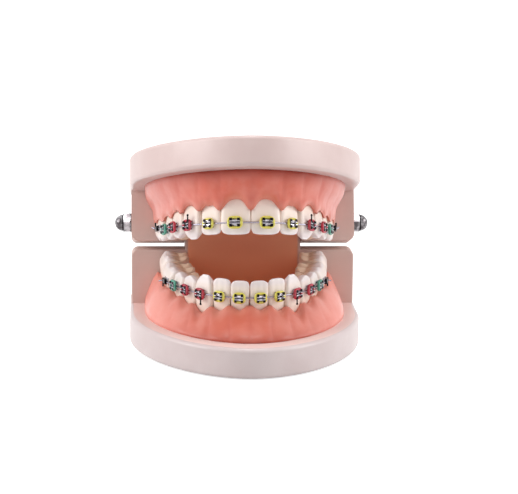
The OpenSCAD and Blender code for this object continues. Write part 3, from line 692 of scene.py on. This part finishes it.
# %% Rings of a crown
def body_rings(jaw, i, w, d, crown):
    """Rings from the root's end up to the crown's rim, with the swellings of its faces."""
    root = abs(jaw.gum_line[i] - jaw.plate_z) - ROOT_BED
    rows = crown_table(i)
    columns = [[(row[0], row[k]) for row in rows] for k in (1, 2, 3)]
    rings = [tooth_ring(i, 0.26 * w * k, -0.24 * d * k, 0.32 * d * k, -crown - root)
             for k in (0.05, 1)]
    for q in np.linspace(rows[0][0], rows[-1][0], 22):
        half_w, y0, y1 = (smooth_table(column, q) for column in columns)
        ring = tooth_ring(i, half_w * w, y0 * d, y1 * d, q * crown)
        if i < 2:
            u = ring[:, 0] / (w / 2)
            corner = abs(u) ** 4 * max(0, 1 + 4.5 * q) * (1 + 0.3 * np.sign(u))
            ring[:, 2] -= CORNER_DROP * corner
            lobes = np.cos(3 * np.pi * u) * max(0, 1 - abs(q + 0.35) / 0.5)
            ring[:, 1] -= LOBE_DEPTH * lobes * (ring[:, 1] < ring[:, 1].mean())
        if i > 4:
            u, v = BACK_RING
            swell = (abs(np.sin(np.pi * u)) ** 0.7 - 0.6) * unit((q + 0.85) / 0.4)
            ring[:, 1] += swell * np.where(v < 0, CHEEK_SWELL, TONGUE_SWELL)
        rings.append(ring)
    return rings

def edge_rings(i, last, d, crown):
    """The end of a front tooth: an incisor keeps its width, a canine shrinks to a point."""
    middle, rings = last.mean(0), []
    for t in np.radians([25, 50, 70, 85]):
        thin = max(1 - (1 - math.cos(t)) * (0.32 / (0.09 * d if i < 2 else 0.065 * d)), 0.05)
        narrow = max(0.97 - 0.03 * t, 0.1) if i < 2 else thin
        ring = middle + (last - middle) * [narrow, thin, 1]
        ring[:, 2] += 0.02 * crown * math.sin(t)
        rings.append(ring)
    return rings

def chewing_rings(i, last, w, d):
    """The rounded rim of a back tooth and its chewing surface, with the depth of the grooves."""
    u, v = BACK_RING
    rim_z, _ = chewing_height(i, 0.9 * u, 0.8 * v, w, d)
    rings, grooves = [], []
    for g in (0.3, 0.6, 0.85):
        k = 0.91 - 0.11 * g ** 1.5
        rings.append(last * (1 - g ** 2 * 0.08, 1 - g, 1)
                     + columns_of(0, g * k * v * d / 2 * 0.97, (rim_z - last[:, 2]) * g))
    for k in (0.8, 0.74, 0.67, 0.6, 0.53, 0.46, 0.39, 0.32, 0.25, 0.18, 0.11, 0.05):
        z, depth = chewing_height(i, 1.12 * k * u, k * v, w, d)
        rings.append(columns_of(1.12 * k * u * w / 2, k * v * d / 2, z))
        grooves.append(depth * min(1, (0.84 - k) / 0.1))
    return rings, grooves

# %% Teeth
def tooth_shape(jaw, i):
    """A tooth in its own frame, with each point's height share, groove depth and basin."""
    w, d, crown = jaw.widths[i], jaw.depths[i], jaw.crowns[i]
    rings, grooves = body_rings(jaw, i, w, d, crown), []
    if i < 3:
        rings += edge_rings(i, rings[-1], d, crown)
    else:
        top, grooves = chewing_rings(i, rings[-1], w, d)
        rings += top
    points, faces = closed_loft(rings)
    groove = np.concatenate([np.zeros(COLUMNS * (len(rings) - len(grooves)))] + grooves)
    height = 1 + points[:, 2] / crown
    # The basin is the mask for painted shade on the tongue side of the back teeth.
    basin = unit((2 * points[:, 1] / d + 0.5) / 0.4) * unit((height - 0.5) / 0.3) * (i > 2)
    points[:, 1] += jaw.leans[i] * np.clip(height, 0, 1.1) ** 2
    points[:, 0] *= 1 - points[:, 1] * jaw.bends[i]
    return points, faces, {"height": unit(height), "groove": groove, "basin": basin}

for jaw in JAWS:
    for i, kind in enumerate(KINDS):
        points, faces, shades = tooth_shape(jaw, i)
        for side_name, side in SIDES:
            node = f"{jaw.name}_{side_name}_{kind}"
            tooth = make_piece("tooth_" + node, jaw.on_tooth(i, side, points), faces, TOOTH,
                               jaw.name, shades)
            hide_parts(node)

# %% [markdown]
# ## The gums
# A gum is a ridge that follows the arch, with scalloped edges: it dips at the middle of each tooth
# and rises to a point between two teeth. Its outer face bulges softly over each root. One cross
# section is worked out at many places along the arch, from the foot on the plate, over the ridge,
# and down inside to the floor of the mouth or the roof. Each jaw's lists say how high each gap's
# point is and how much more of a crown is bare.

# %% The foot and the points between the teeth
FOOT_HALF_W, FOOT_FRONT, GUM_WALL, HALF_DEPTH = 34.0, 46.6, 0.9, 0.46
POINT_H, FLOOR_H, REAR_CLEAR = 2.9, 2.2, 0.15
# The outer face, from the edge down to the foot: shares of the way out and of the height
OUTER_FACE = [(0, 1.0), (0.22, 0.88), (0.5, 0.66), (0.76, 0.42), (0.95, 0.2), (1, 0.07),
              (0.985, 0.0)]
OUTER_STEPS = np.linspace(0, 1, len(OUTER_FACE))
ACROSS, RISE = (smooth_table(list(zip(OUTER_STEPS, column)), np.linspace(1, 0, 15))
                for column in zip(*OUTER_FACE))
FOOT = half_arch(FOOT_HALF_W, -FOOT_FRONT, PLATE_POWER, 0, WALL_Y)

def point_share(jaw, s):
    """How much of a point's height the gum has: most between two teeth, 0 at a tooth's middle."""
    a = abs(s)
    if a > jaw.starts[7]:
        return jaw.papilla[7] * max(0, 1 - (a - jaw.starts[7]) / 2)
    i = min(np.searchsorted(jaw.starts, a, "right") - 1, 6)
    f = (a - jaw.starts[i]) / jaw.widths[i]
    wave = (1 + math.cos(2 * math.pi * f)) / 2
    return wave ** jaw.scallop * jaw.papilla[i + (f > 0.5)]

def gum_stations(jaw):
    half = [0.0]
    for i in range(7):
        half += list(jaw.starts[i] + jaw.widths[i] * np.arange(1, 13) / 12)
    half += list(np.linspace(jaw.starts[7], jaw.end, 5)[1:])
    return [-s for s in half[:0:-1]] + half

def root_swell(jaw, s):
    """Over each root the gum is fuller than between two roots."""
    a = min(abs(s), jaw.starts[7] - 0.01)
    i = np.searchsorted(jaw.starts, a, "right") - 1
    return abs(math.sin(math.pi * (a - jaw.starts[i]) / jaw.widths[i])) ** 0.8 - 0.6

# %% Gum sections
def gum_section(jaw, s, reach):
    """One cross section: rows of x, y and height over the plate, and the four shades of each."""
    c, out, far = jaw.at(s), jaw.outward(s), abs(s)
    depth, line, bare = (np.interp(far, jaw.middles, values)
                         for values in (jaw.depths, jaw.gum_line, jaw.bare))
    half_d, low = depth * HALF_DEPTH, abs(line - jaw.plate_z) - bare
    point, swell = point_share(jaw, s), root_swell(jaw, s)
    rise, margin = POINT_H * point, c + out * (half_d + GUM_WALL)
    foot = on_arch(FOOT, s / jaw.end * FOOT[2][-1])
    side = np.interp(far, [10, 30], [0.5, 0.12])
    # Strength of the painted shadow at the foot: strongest at the front of the upper gum.
    shadow = np.interp(far, [12, 30], [0.9, 0.3] if jaw is UPPER else [0.65, 0.1])
    bulge = 1.5 * side * swell * unit(RISE * (1 - RISE) * 5) ** 0.7 - 0.3 * bell(1 - RISE, 0.07)
    if jaw is UPPER:
        bulge -= 1.3 * unit((far - 16) / 14) * bell(RISE - 0.68, 0.27)
    rows = [(*(margin + (foot - margin) * a + out * b), low * h + rise * h ** 4)
            for a, h, b in zip(ACROSS, RISE, bulge)]
    # The first shade is painted fold shade, between the roots and at the points between the teeth.
    shades = [(max(point * h ** 3, side * (0.4 - swell) * (1 - abs(2 * h - 1))),
               bell(1 - h, 0.16), 0, shadow * bell(max(h, 0), 0.34)) for h in RISE]
    inner = c - out * (half_d + GUM_WALL / 2)
    for at, dip in ((margin - out * 0.5, -0.04), (margin - out * 0.75, -0.3), (c, -0.5),
                    (inner + out * 0.35, -0.3), (inner, -0.05)):
        rows.append((*at, low + rise + dip))
        shades.append((0.2 * point, 1.0, 0, 0))
    spine = np.array([0.0, max(inner[1], reach)])
    for f in np.linspace(0, 1, 14)[1:]:
        slope = math.exp(-(f / 0.42) ** 2.2)
        rows.append((*(inner + (spine - inner) * f), FLOOR_H + (low + rise - FLOOR_H) * slope))
        shades.append((0.15, 0.3 * math.exp(-f / 0.1), min(1, f / 0.15) * (jaw is LOWER), 0))
    return rows, shades

def shape_palate(grid):
    """Ridges across the palate's front and along its middle; the rear stays clear of the tongue."""
    x, y = grid[..., 0], grid[..., 1]
    ridge = np.sin((y + 0.055 * x ** 2) * 1.75 + 0.5 * np.sin(x * 0.7)) * unit(abs(x) / 1.4)
    front = unit((-6 - y) / 5) * unit((14 - abs(x)) / 3)
    inside = np.arange(grid.shape[1]) > 22
    grid[..., 2] += inside * (front * 0.35 * ridge + 0.5 * bell(x, 0.9) * unit((12 - y) / 6))
    grid[..., 1] = np.minimum(y, WALL_Y - REAR_CLEAR)

SHADES = ("fold", "margin", "inside", "foot")
for jaw, reach in ((LOWER, -11.0), (UPPER, -12.0)):
    sections = [gum_section(jaw, s, reach) for s in gum_stations(jaw)]
    grid, shades = (np.array(part) for part in zip(*sections))
    if jaw is UPPER:
        shape_palate(grid)
    grid[..., 2] = jaw.plate_z - jaw.sign * grid[..., 2]
    rows, columns = grid.shape[:2]
    faces = grid_faces(rows, columns, closed=False)
    faces += [tuple(r * columns + j for j in range(columns)) for r in (0, rows - 1)]
    gum = make_piece(jaw.name + "_gum_skin", jaw.pose(grid), faces, GUM, jaw.name,
                     {key: shades[..., k] for k, key in enumerate(SHADES)})
    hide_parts(jaw.name + "_gum")
print("gum points:", rows * columns, "each")

# %% [markdown]
# ## Brackets, ties and wires
# A bracket is a small steel block with four wings and a slot for the wire, glued to the middle of
# a tooth. The same few shapes repeat along both arches, so Geometry Nodes place them: a cloud of
# points carries where each bracket sits and how it is turned, and Instance on Points puts a copy
# on each.

# %% Bracket sizes and places
BRACKET_W, WIDE_W, BRACKET_H, PAD_T, PAD_SEAT = 2.9, 3.5, 2.9, 0.5, 0.35
TWIN_GAP, WING_T = 0.48, 0.5
SLOT_H, WIRE_D, WIRE_END, WIRE_BEND, TIE_R = 0.6, 0.45, 2.2, 0.5, 0.3
HOOK_L, TUBE_L, EDGE_ROUND, NECK_HALF_H = 1.7, 3.6, 0.09, 0.83
TIE_DEPTH = PAD_T + WIRE_D + 1.7 * TIE_R
WIRE_DEPTH = PAD_T + WIRE_D / 2 + TIE_R / 2
NECK_DEPTH = TIE_DEPTH + 1.15 * TIE_R
WING_FRONT = NECK_DEPTH + WING_T

def is_wide(jaw, i):
    """The upper central incisors carry wider brackets."""
    return jaw is UPPER and i == 0

def wire_seat(jaw, i):
    """The wire's height under a tooth's tip, and how far a molar's tube sits forward on it."""
    z = -abs(jaw.tips[i] - jaw.wire_z[i])
    return z, TUBE_SHIFT * jaw.widths[i] if i == FIRST_MOLAR else 0

def brace_place(jaw, i, side):
    """Where a bracket sits, in millimetres, and its three axes."""
    z, shift = wire_seat(jaw, i)
    seat = np.array([shift, PAD_SEAT - cheek_face(jaw, i, z), z])
    corner, *ends = jaw.on_tooth(i, side, [seat, *(seat + np.eye(3))], tilted=False)
    return corner, np.array(ends) - corner

def place_cloud(spots):
    """Points that carry a turn and a size for each copy. A mirrored place gets a negative width."""
    corners, turns, sizes = [], [], []
    for (corner, axes), width, height in spots:
        flip = -1.0 if np.linalg.det(axes) < 0 else 1.0
        turns += list(Matrix((axes * [[flip], [1], [1]]).T.tolist()).to_euler("XYZ"))
        sizes += [flip * width, 1.0, height]
        corners.append(corner)
    mesh = new_mesh("places", corners)
    for key, values in (("turn", turns), ("size", sizes)):
        mesh.attributes.new(key, "FLOAT_VECTOR", "POINT").data.foreach_set("vector", values)
    return new_object("places", mesh)

# %% Node trees
class Tree:
    """A Geometry Nodes tree: node() adds a node and returns its outputs by name."""
    def __init__(self, name, **inputs):
        self.group = bpy.data.node_groups.new(name, "GeometryNodeTree")
        sockets = [("Geometry", "INPUT", "Geometry")]
        sockets += [(key, "INPUT", kind) for key, kind in inputs.items()]
        for key, way, kind in sockets + [("Geometry", "OUTPUT", "Geometry")]:
            self.group.interface.new_socket(key, in_out=way, socket_type="NodeSocket" + kind)
        self.given = self.group.nodes.new("NodeGroupInput").outputs
        self.result = self.group.nodes.new("NodeGroupOutput").inputs[0]

    def node(self, kind, settings=None, **values):
        made = self.group.nodes.new(kind)
        for key, value in (settings or {}).items():
            setattr(made, key, value)
        for key, value in values.items():
            socket = made.inputs[key.replace("_", " ")]
            if isinstance(value, bpy.types.NodeSocket):
                self.group.links.new(value, socket)
            else:
                socket.default_value = value
        return made.outputs

    def copies(self):
        """The pattern on every point, turned and sized by what the point carries."""
        turn, size = (self.node("GeometryNodeInputNamedAttribute", {"data_type": "FLOAT_VECTOR"},
                                Name=key)[0] for key in ("turn", "size"))
        shape = self.node("GeometryNodeObjectInfo", Object=self.given["Pattern"])["Geometry"]
        turned = self.node("FunctionNodeEulerToRotation", Euler=turn)[0]
        return self.node("GeometryNodeInstanceOnPoints", Points=self.given["Geometry"],
                         Instance=shape, Rotation=turned, Scale=size)[0]

    def line(self, shape):
        return self.node("GeometryNodeMeshToCurve", Mesh=shape)[0]

    def cord(self, path, sides):
        circle = self.node("GeometryNodeCurvePrimitiveCircle", Resolution=sides,
                           Radius=self.given["Radius"])[0]
        return self.node("GeometryNodeCurveToMesh", Curve=path, Profile_Curve=circle,
                         Fill_Caps=True)[0]

    def whole(self, shape):
        return self.node("GeometryNodeRealizeInstances", Geometry=shape)[0]

    def finish(self, shape):
        made = self.node("GeometryNodeSetMaterial", Geometry=self.whole(shape),
                         Material=self.given["Material"])[0]
        self.group.links.new(made, self.result)
        return self

def run_tree(tree, carrier, name, body, **values):
    """Runs a tree on a carrier object and keeps the result as a plain mesh that rides on a body."""
    modifier = carrier.modifiers.new(tree.group.name, "NODES")
    modifier.node_group = tree.group
    for item in tree.group.interface.items_tree:
        if item.in_out == "INPUT" and item.name in values:
            modifier[item.identifier] = values[item.name]
    graph = bpy.context.evaluated_depsgraph_get()
    mesh = bpy.data.meshes.new_from_object(carrier.evaluated_get(graph), depsgraph=graph)
    bpy.data.objects.remove(carrier)
    with edited(mesh) as bm:
        bmesh.ops.recalc_face_normals(bm, faces=bm.faces)
    mesh.shade_smooth()
    piece = new_object(name, mesh)
    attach(piece, body)
    print(name, len(mesh.vertices), "points")
    return piece

COPIES = Tree("copies_on_points", Pattern="Object", Material="Material")
COPIES.finish(COPIES.copies())

# %% Bracket and tube shapes
def new_pattern(name, shape, where_painted_dark):
    """A shape at the origin that only serves as a pattern; the given test of x, y and z says where it is
    painted dark, as a dark reflection.
    """
    points, faces = shape
    mesh = new_mesh(name, points, (), faces)
    with edited(mesh) as bm:
        bmesh.ops.recalc_face_normals(bm, faces=bm.faces)
        sharp = [edge for edge in bm.edges if edge.calc_face_angle(0) > math.radians(30)]
        bmesh.ops.bevel(bm, geom=sharp, offset=EDGE_ROUND / 1000, segments=2, profile=0.5,
                        affect="EDGES", clamp_overlap=True)
        wing = bm.verts.layers.float.new("wing")
        for vert in bm.verts:
            vert[wing] = float(where_painted_dark(*(vert.co * 1000)))
    return new_object(name, mesh)

def block(w, h, depth):
    """A pad w wide and h high."""
    side = [(0, -h / 2), (-depth, -h / 2), (-depth, h / 2), (0, h / 2)]
    return prism_across(side, (-w / 2, w / 2))

def side_profile(front, wings):
    """Side view of a bracket: neck, wings that overhang it and the slot for the wire."""
    half_h, half = BRACKET_H / 2, [(0.4, NECK_HALF_H), (NECK_DEPTH - 0.08, NECK_HALF_H)]
    if wings:
        half += [(NECK_DEPTH - 0.12, half_h - 0.1), (NECK_DEPTH + 0.16, half_h),
                 (front, half_h - 0.25), (front, 0.55), (front, 0.45)]
    else:
        half.append((front, NECK_HALF_H))
    half += [(front, SLOT_H / 2), (PAD_T + 0.12, SLOT_H / 2)]
    return [(-u, z) for u, z in half] + [(-u, -z) for u, z in reversed(half)]

def rod(path, radius):
    """A straight or bent round bar that runs near the z direction."""
    return closed_loft([[(*point, z) for point in arc((x, y), (radius, radius), full_turn(12))]
                        for x, y, z in path])

def ball(centre, radius):
    x, y, z = centre
    return closed_loft([[(*point, z + radius * math.sin(b)) for point in
                         arc((x, y), [radius * math.cos(b)] * 2, full_turn(14))]
                        for b in angles(-85, 85, 9)])

def bracket_shape(hooked=False):
    w, gap = BRACKET_W, TWIN_GAP * BRACKET_W / 2
    twin = side_profile(WING_FRONT, True)
    middle = side_profile(NECK_DEPTH - 0.1, False)
    parts = [block(w, BRACKET_H, PAD_T), prism_across(twin, (-w / 2, -gap)),
             prism_across(twin, (gap, w / 2)), prism_across(middle, (-gap - 0.02, gap + 0.02))]
    if hooked:
        x, y = 0.3 - w / 2, -NECK_DEPTH - WING_T / 2
        parts += [rod([(x, y, -1.2), (x, y, -2.2), (x, y, -2.9)], 0.24),
                  ball((x, y, -BRACKET_H / 2 - HOOK_L), 0.39)]
    return join_shapes(parts)

def tube_shape():
    """A molar tube: a rounded bar with a bore for the wire, on its pad, with a short hook."""
    back, front, half_h = 0.35, WIRE_DEPTH + 1.5 * WIRE_D, 0.9
    circle = np.array(arc((0, 0), (1, 1), full_turn(32)))
    outer = signed_power(circle, 0.6) * ((front - back) / 2, half_h) - ((back + front) / 2, 0)
    bore, mouth = (circle * SLOT_H / 2 * k - (WIRE_DEPTH, 0) for k in (1, 1.35))
    end = TUBE_L / 2
    half = [(bore, end - 0.25), (mouth, end), (outer, end)]
    rings = [columns_of(x, *ring.T) for ring, x in
             [(ring, -x) for ring, x in half] + half[::-1] + [(bore, 0.25 - end)]]
    body = (np.vstack(rings), grid_faces(len(rings), 32))
    hook = rod([(end - 0.6, -front + 0.3, z) for z in (-0.6, -2.1)], 0.28)
    return join_shapes([block(TUBE_L, 0.85 * BRACKET_H, PAD_T), body, hook])

# Painted dark reflection on the front of the wing tips.
def wing_tips(x, y, z):
    return -y > NECK_DEPTH + 0.1 and abs(z) > 0.5

# Painted dark reflection on the tube's front ends and its hook.
def tube_ends(x, y, z):
    return -y > 0.7 and (abs(x) > 1 or z < -0.5)

PATTERNS = {"plain": new_pattern("bracket_pattern", bracket_shape(), wing_tips),
            "hooked": new_pattern("hooked_bracket_pattern", bracket_shape(hooked=True), wing_tips),
            "tube": new_pattern("tube_pattern", tube_shape(), tube_ends)}

# %% Place the brackets and tubes
places = {(jaw.name, i, side): brace_place(jaw, i, side)
          for jaw in JAWS for i in range(FIRST_MOLAR + 1) for _, side in SIDES}
for jaw in JAWS:
    for node, rows, kind in (("incisor_brackets", (0, 1), "plain"),
                             ("canine_brackets", (2,), "hooked"),
                             ("premolar_brackets", (3, 4), "plain"), ("molar_tubes", (5,), "tube")):
        spots = [(places[jaw.name, i, side], WIDE_W / BRACKET_W if is_wide(jaw, i) else 1.0, 1.0)
                 for i in rows for _, side in SIDES]
        piece = run_tree(COPIES, place_cloud(spots), f"{jaw.name}_{node}_steel", jaw.name,
                         Pattern=PATTERNS[kind], Material=BRACKET)
        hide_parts(f"{jaw.name}_{node}")

# %% [markdown]
# An elastic tie is a small ring of cord, stretched round the bracket's neck. The tree copies a
# ring onto each place first and turns it into a cord afterwards, so the cord is equally thick
# everywhere.

# %% Ties
RING_POINTS = 48

def tie_ring():
    """A ring 2 wide and 2 high in x and z, lifted a little over the wire at its sides."""
    t = full_turn(RING_POINTS)
    points = columns_of(signed_power(np.cos(t), 0.62), -TIE_DEPTH - 0.1 * np.cos(t) ** 4 + 0.05,
                        signed_power(np.sin(t), 0.62))
    edges = [(k, (k + 1) % RING_POINTS) for k in range(RING_POINTS)]
    return new_object("tie_ring", new_mesh("tie_ring", points, edges))

def tie_size(jaw, i):
    """Half width and half height of the ring round a bracket."""
    return (WIDE_W / 2 + 0.38, 1.66) if is_wide(jaw, i) else (BRACKET_W / 2 + 0.28, 1.46)

CORDS = Tree("cord_rings", Pattern="Object", Radius="Float", Material="Material")
CORDS.finish(CORDS.cord(CORDS.line(CORDS.whole(CORDS.copies())), 12))
ring = tie_ring()
for jaw in JAWS:
    for colour, rows, finish, radius in (("yellow", (0, 1), YELLOW, 0.43),
                                         ("red", (2, 3), RED, 0.5), ("green", (4,), GREEN, 0.5)):
        spots = [(places[jaw.name, i, side], *tie_size(jaw, i)) for i in rows for _, side in SIDES]
        piece = run_tree(CORDS, place_cloud(spots), f"{jaw.name}_{colour}_cords", jaw.name,
                         Pattern=ring, Radius=radius / 1000, Material=finish)
        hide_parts(f"{jaw.name}_{colour}_ties")

# %% [markdown]
# The archwire runs straight through each slot and bends between two brackets. Its path is a line
# of points; the tree rounds the bends and sweeps a circle along it. Behind the last tube its end
# is turned out a little.

# %% Archwires
def wire_path(jaw):
    right = []
    for i in range(FIRST_MOLAR + 1):
        p, run, out = (way(jaw.middles[i]) for way in (jaw.at, jaw.along, jaw.outward))
        z, shift = wire_seat(jaw, i)
        middle = p + run * shift + out * (cheek_face(jaw, i, z) - PAD_SEAT + WIRE_DEPTH)
        width = TUBE_L if i == FIRST_MOLAR else WIDE_W if is_wide(jaw, i) else BRACKET_W
        for way in (-1, 1):
            right.append((*(middle + run * way * (width / 2 + TIE_R / 3)), jaw.wire_z[i]))
    right = np.array(right)
    run = right[-1] - right[-2]
    run /= np.linalg.norm(run)
    turned = run + 0.7 * np.array([run[1], -run[0], 0.6 * jaw.sign])
    right = np.vstack([right, right[-1] + WIRE_END * turned / np.linalg.norm(turned)])
    return jaw.pose(np.vstack([right[::-1] * (-1, 1, 1), right]))

WIRES = Tree("swept_wire", Radius="Float", Bend="Float", Material="Material")
bent = WIRES.node("GeometryNodeFilletCurve", {"mode": "POLY"}, Count=5, Radius=WIRES.given["Bend"],
                  Curve=WIRES.line(WIRES.given["Geometry"]))[0]
WIRES.finish(WIRES.cord(bent, 16))
for jaw in JAWS:
    path = wire_path(jaw)
    mesh = new_mesh("wire_path", path, [(k, k + 1) for k in range(len(path) - 1)])
    wire = run_tree(WIRES, new_object("wire_path", mesh), jaw.name + "_archwire_steel", jaw.name,
                    Radius=WIRE_D / 2000, Bend=WIRE_BEND / 1000, Material=WIRE)
    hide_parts(jaw.name + "_archwire")
for pattern in [*PATTERNS.values(), ring]:
    bpy.data.objects.remove(pattern)

# %% [markdown]
# ## The hinge
# A plated pin runs through the lobes and the tongue, with a cap nut at each end. Each nut is a
# hexagon whose corners are chamfered, with a dome on it. It is one set of rings round the pin: the
# smaller of the hexagon and the chamfer cone gives the radius.

# %% Cap nuts
NUT_FLATS, NUT_HEX_H, NUT_DOME_R, NUT_COLUMNS = 6.3, 2.9, 2.9, 96

def nut_rings():
    t = full_turn(NUT_COLUMNS)
    hexagon = NUT_FLATS / 2 / np.cos((t + math.pi / 6) % (math.pi / 3) - math.pi / 6)
    rings = []
    for x in (0, *np.linspace(0.02, 0.5, 5), 0.9, 1.6, *np.linspace(2.3, NUT_HEX_H, 6)):
        cone = NUT_FLATS / 2 + min(0.11 + x * 0.9, NUT_HEX_H - x + 0.02)
        rings.append((x, np.minimum(hexagon, cone)))
    rings.append((NUT_HEX_H + 0.02, 0.9 * NUT_DOME_R))
    rings += [(x, r) for r, x in arc((0, NUT_HEX_H), (NUT_DOME_R, NUT_DOME_R), angles(6, 89, 14))]
    return np.array([columns_of(x, r * np.sin(t), r * np.cos(t)) for x, r in rings])

def nut_crease_shade(points):
    """Painted shade: dark at the foot by the wall and in the crease under the dome."""
    x = abs(points[:, 0]) - WALL_HALF_W
    return bell(x, 0.35) + bell(x - NUT_HEX_H, 0.22)

nut_points, nut_faces = join_shapes([
    closed_loft((nut_rings() + (WALL_HALF_W, 0, 0)) * (side, 1, 1) + (0, HINGE_Y, HINGE_Z))
    for _, side in SIDES])
# The nuts' dark mark is painted crease shade.
nuts = make_piece("cap_nuts", UPPER.pose(nut_points), nut_faces, CHROME, "upper",
                  {"wing": np.minimum(1, nut_crease_shade(nut_points))})
nuts.data.set_sharp_from_angle(angle=math.radians(28))
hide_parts("hinge_nuts")
pin = frame["nodes"]["hinge_pin"]
pin.data.materials.clear()
pin.data.materials.append(CHROME)

# %% [markdown]
# ## Floor and light
# The object stands on a pale floor that runs on far behind it. The world is a soft even light, and
# two large lamps at the sides and one above give the highlights and the shadow. To the camera and
# to reflections the world is plain white, and the floor glows a little, so that it shows white
# too.

# %% Floor, world and lamps
BLACK, WHITE = (0, 0, 0), (255, 255, 255)
FLOOR_HALF, FLOOR_Z, SKY_LIGHT, LAMP_AIM = 6000, -0.3, 0.43, Vector((0, 0, 0.03))

def seen_ray(f):
    """1 for the camera's rays and for reflections."""
    camera_ray = f.node("ShaderNodeLightPath", output="Is Camera Ray")
    return camera_ray.most(f.node("ShaderNodeLightPath", output="Is Glossy Ray"))

def pale_floor():
    f = new_finish("pale_floor")
    cloud = f.noise(120, 2)
    return f.set(Base_Color=f.blend(cloud, (212, 212, 212), (206, 206, 206)),
                 Roughness=0.7 + cloud * 0.1, Emission_Color=f.blend(seen_ray(f), BLACK, WHITE),
                 Emission_Strength=0.7)

corners = [(x * FLOOR_HALF, y * FLOOR_HALF, FLOOR_Z)
           for x, y in ((-1, -1), (1, -1), (1, 1), (-1, 1))]
floor = new_object("floor", new_mesh("floor", corners, (), [(0, 1, 2, 3)]))
floor.data.materials.append(pale_floor())

def sky():
    scene.world = bpy.data.worlds.new("studio")
    f = Finish(scene.world)
    soft, white = (f.node("ShaderNodeBackground", None, {"Color": WHITE, "Strength": strength})
                   for strength in (SKY_LIGHT, 1.0))
    mixed = f.node("ShaderNodeMixShader", None, {0: seen_ray(f), 1: soft, 2: white})
    f.feed(f.tree.nodes["World Output"].inputs["Surface"], mixed)

def lamp(name, place, size, watts):
    light = bpy.data.lights.new(name, "AREA")
    light.shape, light.size, light.energy = "DISK", size, watts
    holder = new_object(name, light)
    holder.location = place
    holder.rotation_euler = (LAMP_AIM - Vector(place)).to_track_quat("-Z", "Y").to_euler()

sky()
lamp("left_box", (-0.75, -0.12, 0.38), 0.6, 4.0)
lamp("right_box", (0.75, -0.12, 0.38), 0.6, 3.7)
lamp("top_box", (0, -0.05, 0.9), 0.4, 3.2)
scene.view_settings.view_transform = "Standard"

# %% [markdown]
# ## Check against the photograph
# Named points of the photograph are compared with where the same things show here. Only vertices
# that the camera can see count: a ray from each one to the camera must meet nothing.

# %% Image points
POINTS = {
    "left_edge": (115.5, None), "right_edge": (369, None), "top_edge": (None, 136), "bottom_edge": (None, 379),
    "nut_left": (None, 223), "nut_right": (None, 222.5),
    "upper_central_left": (234.3, 220.4), "upper_central_right": (265, 220.6),
    "upper_canine_left": (188.6, 223.7), "upper_canine_right": (309.6, 224),
    "lower_central_left": (241.4, 297.9), "lower_central_right": (259.6, 297.2),
    "lower_canine_left": (202.3, 292.6), "lower_canine_right": (295.1, 295.1),
    "lower_premolar_left": (176.9, 285.4), "lower_premolar_right": (317.5, 286)}
BRACE_OF = {"central": (0, "incisor_brackets"), "canine": (2, "canine_brackets"),
            "premolar": (4, "premolar_brackets")}
NEAR_BRACE, RAY_START = 0.0034, 0.00015  # metres
END_TRIES = 400

def finished_meshes():
    """Points in metres and triangles of each visible piece, after its modifiers."""
    graph, made = bpy.context.evaluated_depsgraph_get(), {}
    for thing in scene.objects:
        if thing.type == "MESH" and not thing.hide_render and thing != floor:
            ready = thing.evaluated_get(graph)
            mesh = ready.to_mesh()
            mesh.calc_loop_triangles()
            made[thing.name] = [np.array([v.co for v in mesh.vertices]),
                                np.array([t.vertices for t in mesh.loop_triangles])]
            ready.to_mesh_clear()
    return made

meshes = finished_meshes()
all_points, all_faces = join_shapes(meshes.values())
everything = BVHTree.FromPolygons(all_points.tolist(), all_faces)

def is_seen(point):
    """True if nothing stands between a point in metres and the camera."""
    way = (EYE / 1000 - Vector(point)).normalized()
    return everything.ray_cast(Vector(point) + way * RAY_START, way)[0] is None

def shown(name, near=None):
    """Image places of a piece's seen vertices, or of those close to one point."""
    points = meshes[name][0]
    if near is not None:
        points = points[np.linalg.norm(points - near / 1000, axis=1) < NEAR_BRACE]
    return np.array([to_image(p) for p in points if is_seen(p)])

def end_of_all(axis, sign):
    """The seen vertex furthest to one side of the picture."""
    order = np.argsort(all_spots[:, axis] * sign)[:END_TRIES]
    return next(all_spots[k][axis] for k in order if is_seen(all_points[k]))

all_spots = np.array([to_image(p) for p in all_points])
found = {"left_edge": (end_of_all(0, 1), None), "right_edge": (end_of_all(0, -1), None),
         "top_edge": (None, end_of_all(1, 1)), "bottom_edge": (None, end_of_all(1, -1))}
nut_spots = shown("cap_nuts")
for side_name, side in SIDES:
    half = nut_spots[(nut_spots[:, 0] - W / 2) * side > 0]
    found["nut_" + side_name] = (None, (half[:, 1].min() + half[:, 1].max()) / 2)
    for jaw in JAWS:
        for kind, (i, node) in BRACE_OF.items():
            spots = shown(f"{jaw.name}_{node}_steel", places[jaw.name, i, side][0])
            if len(spots):
                found[f"{jaw.name}_{kind}_{side_name}"] = tuple((spots.min(0) + spots.max(0)) / 2)

for key, wanted in POINTS.items():
    got = found.get(key, (None, None))
    [None if a is None or b is None else round(float(b - a), 2) for a, b in zip(wanted, got)]
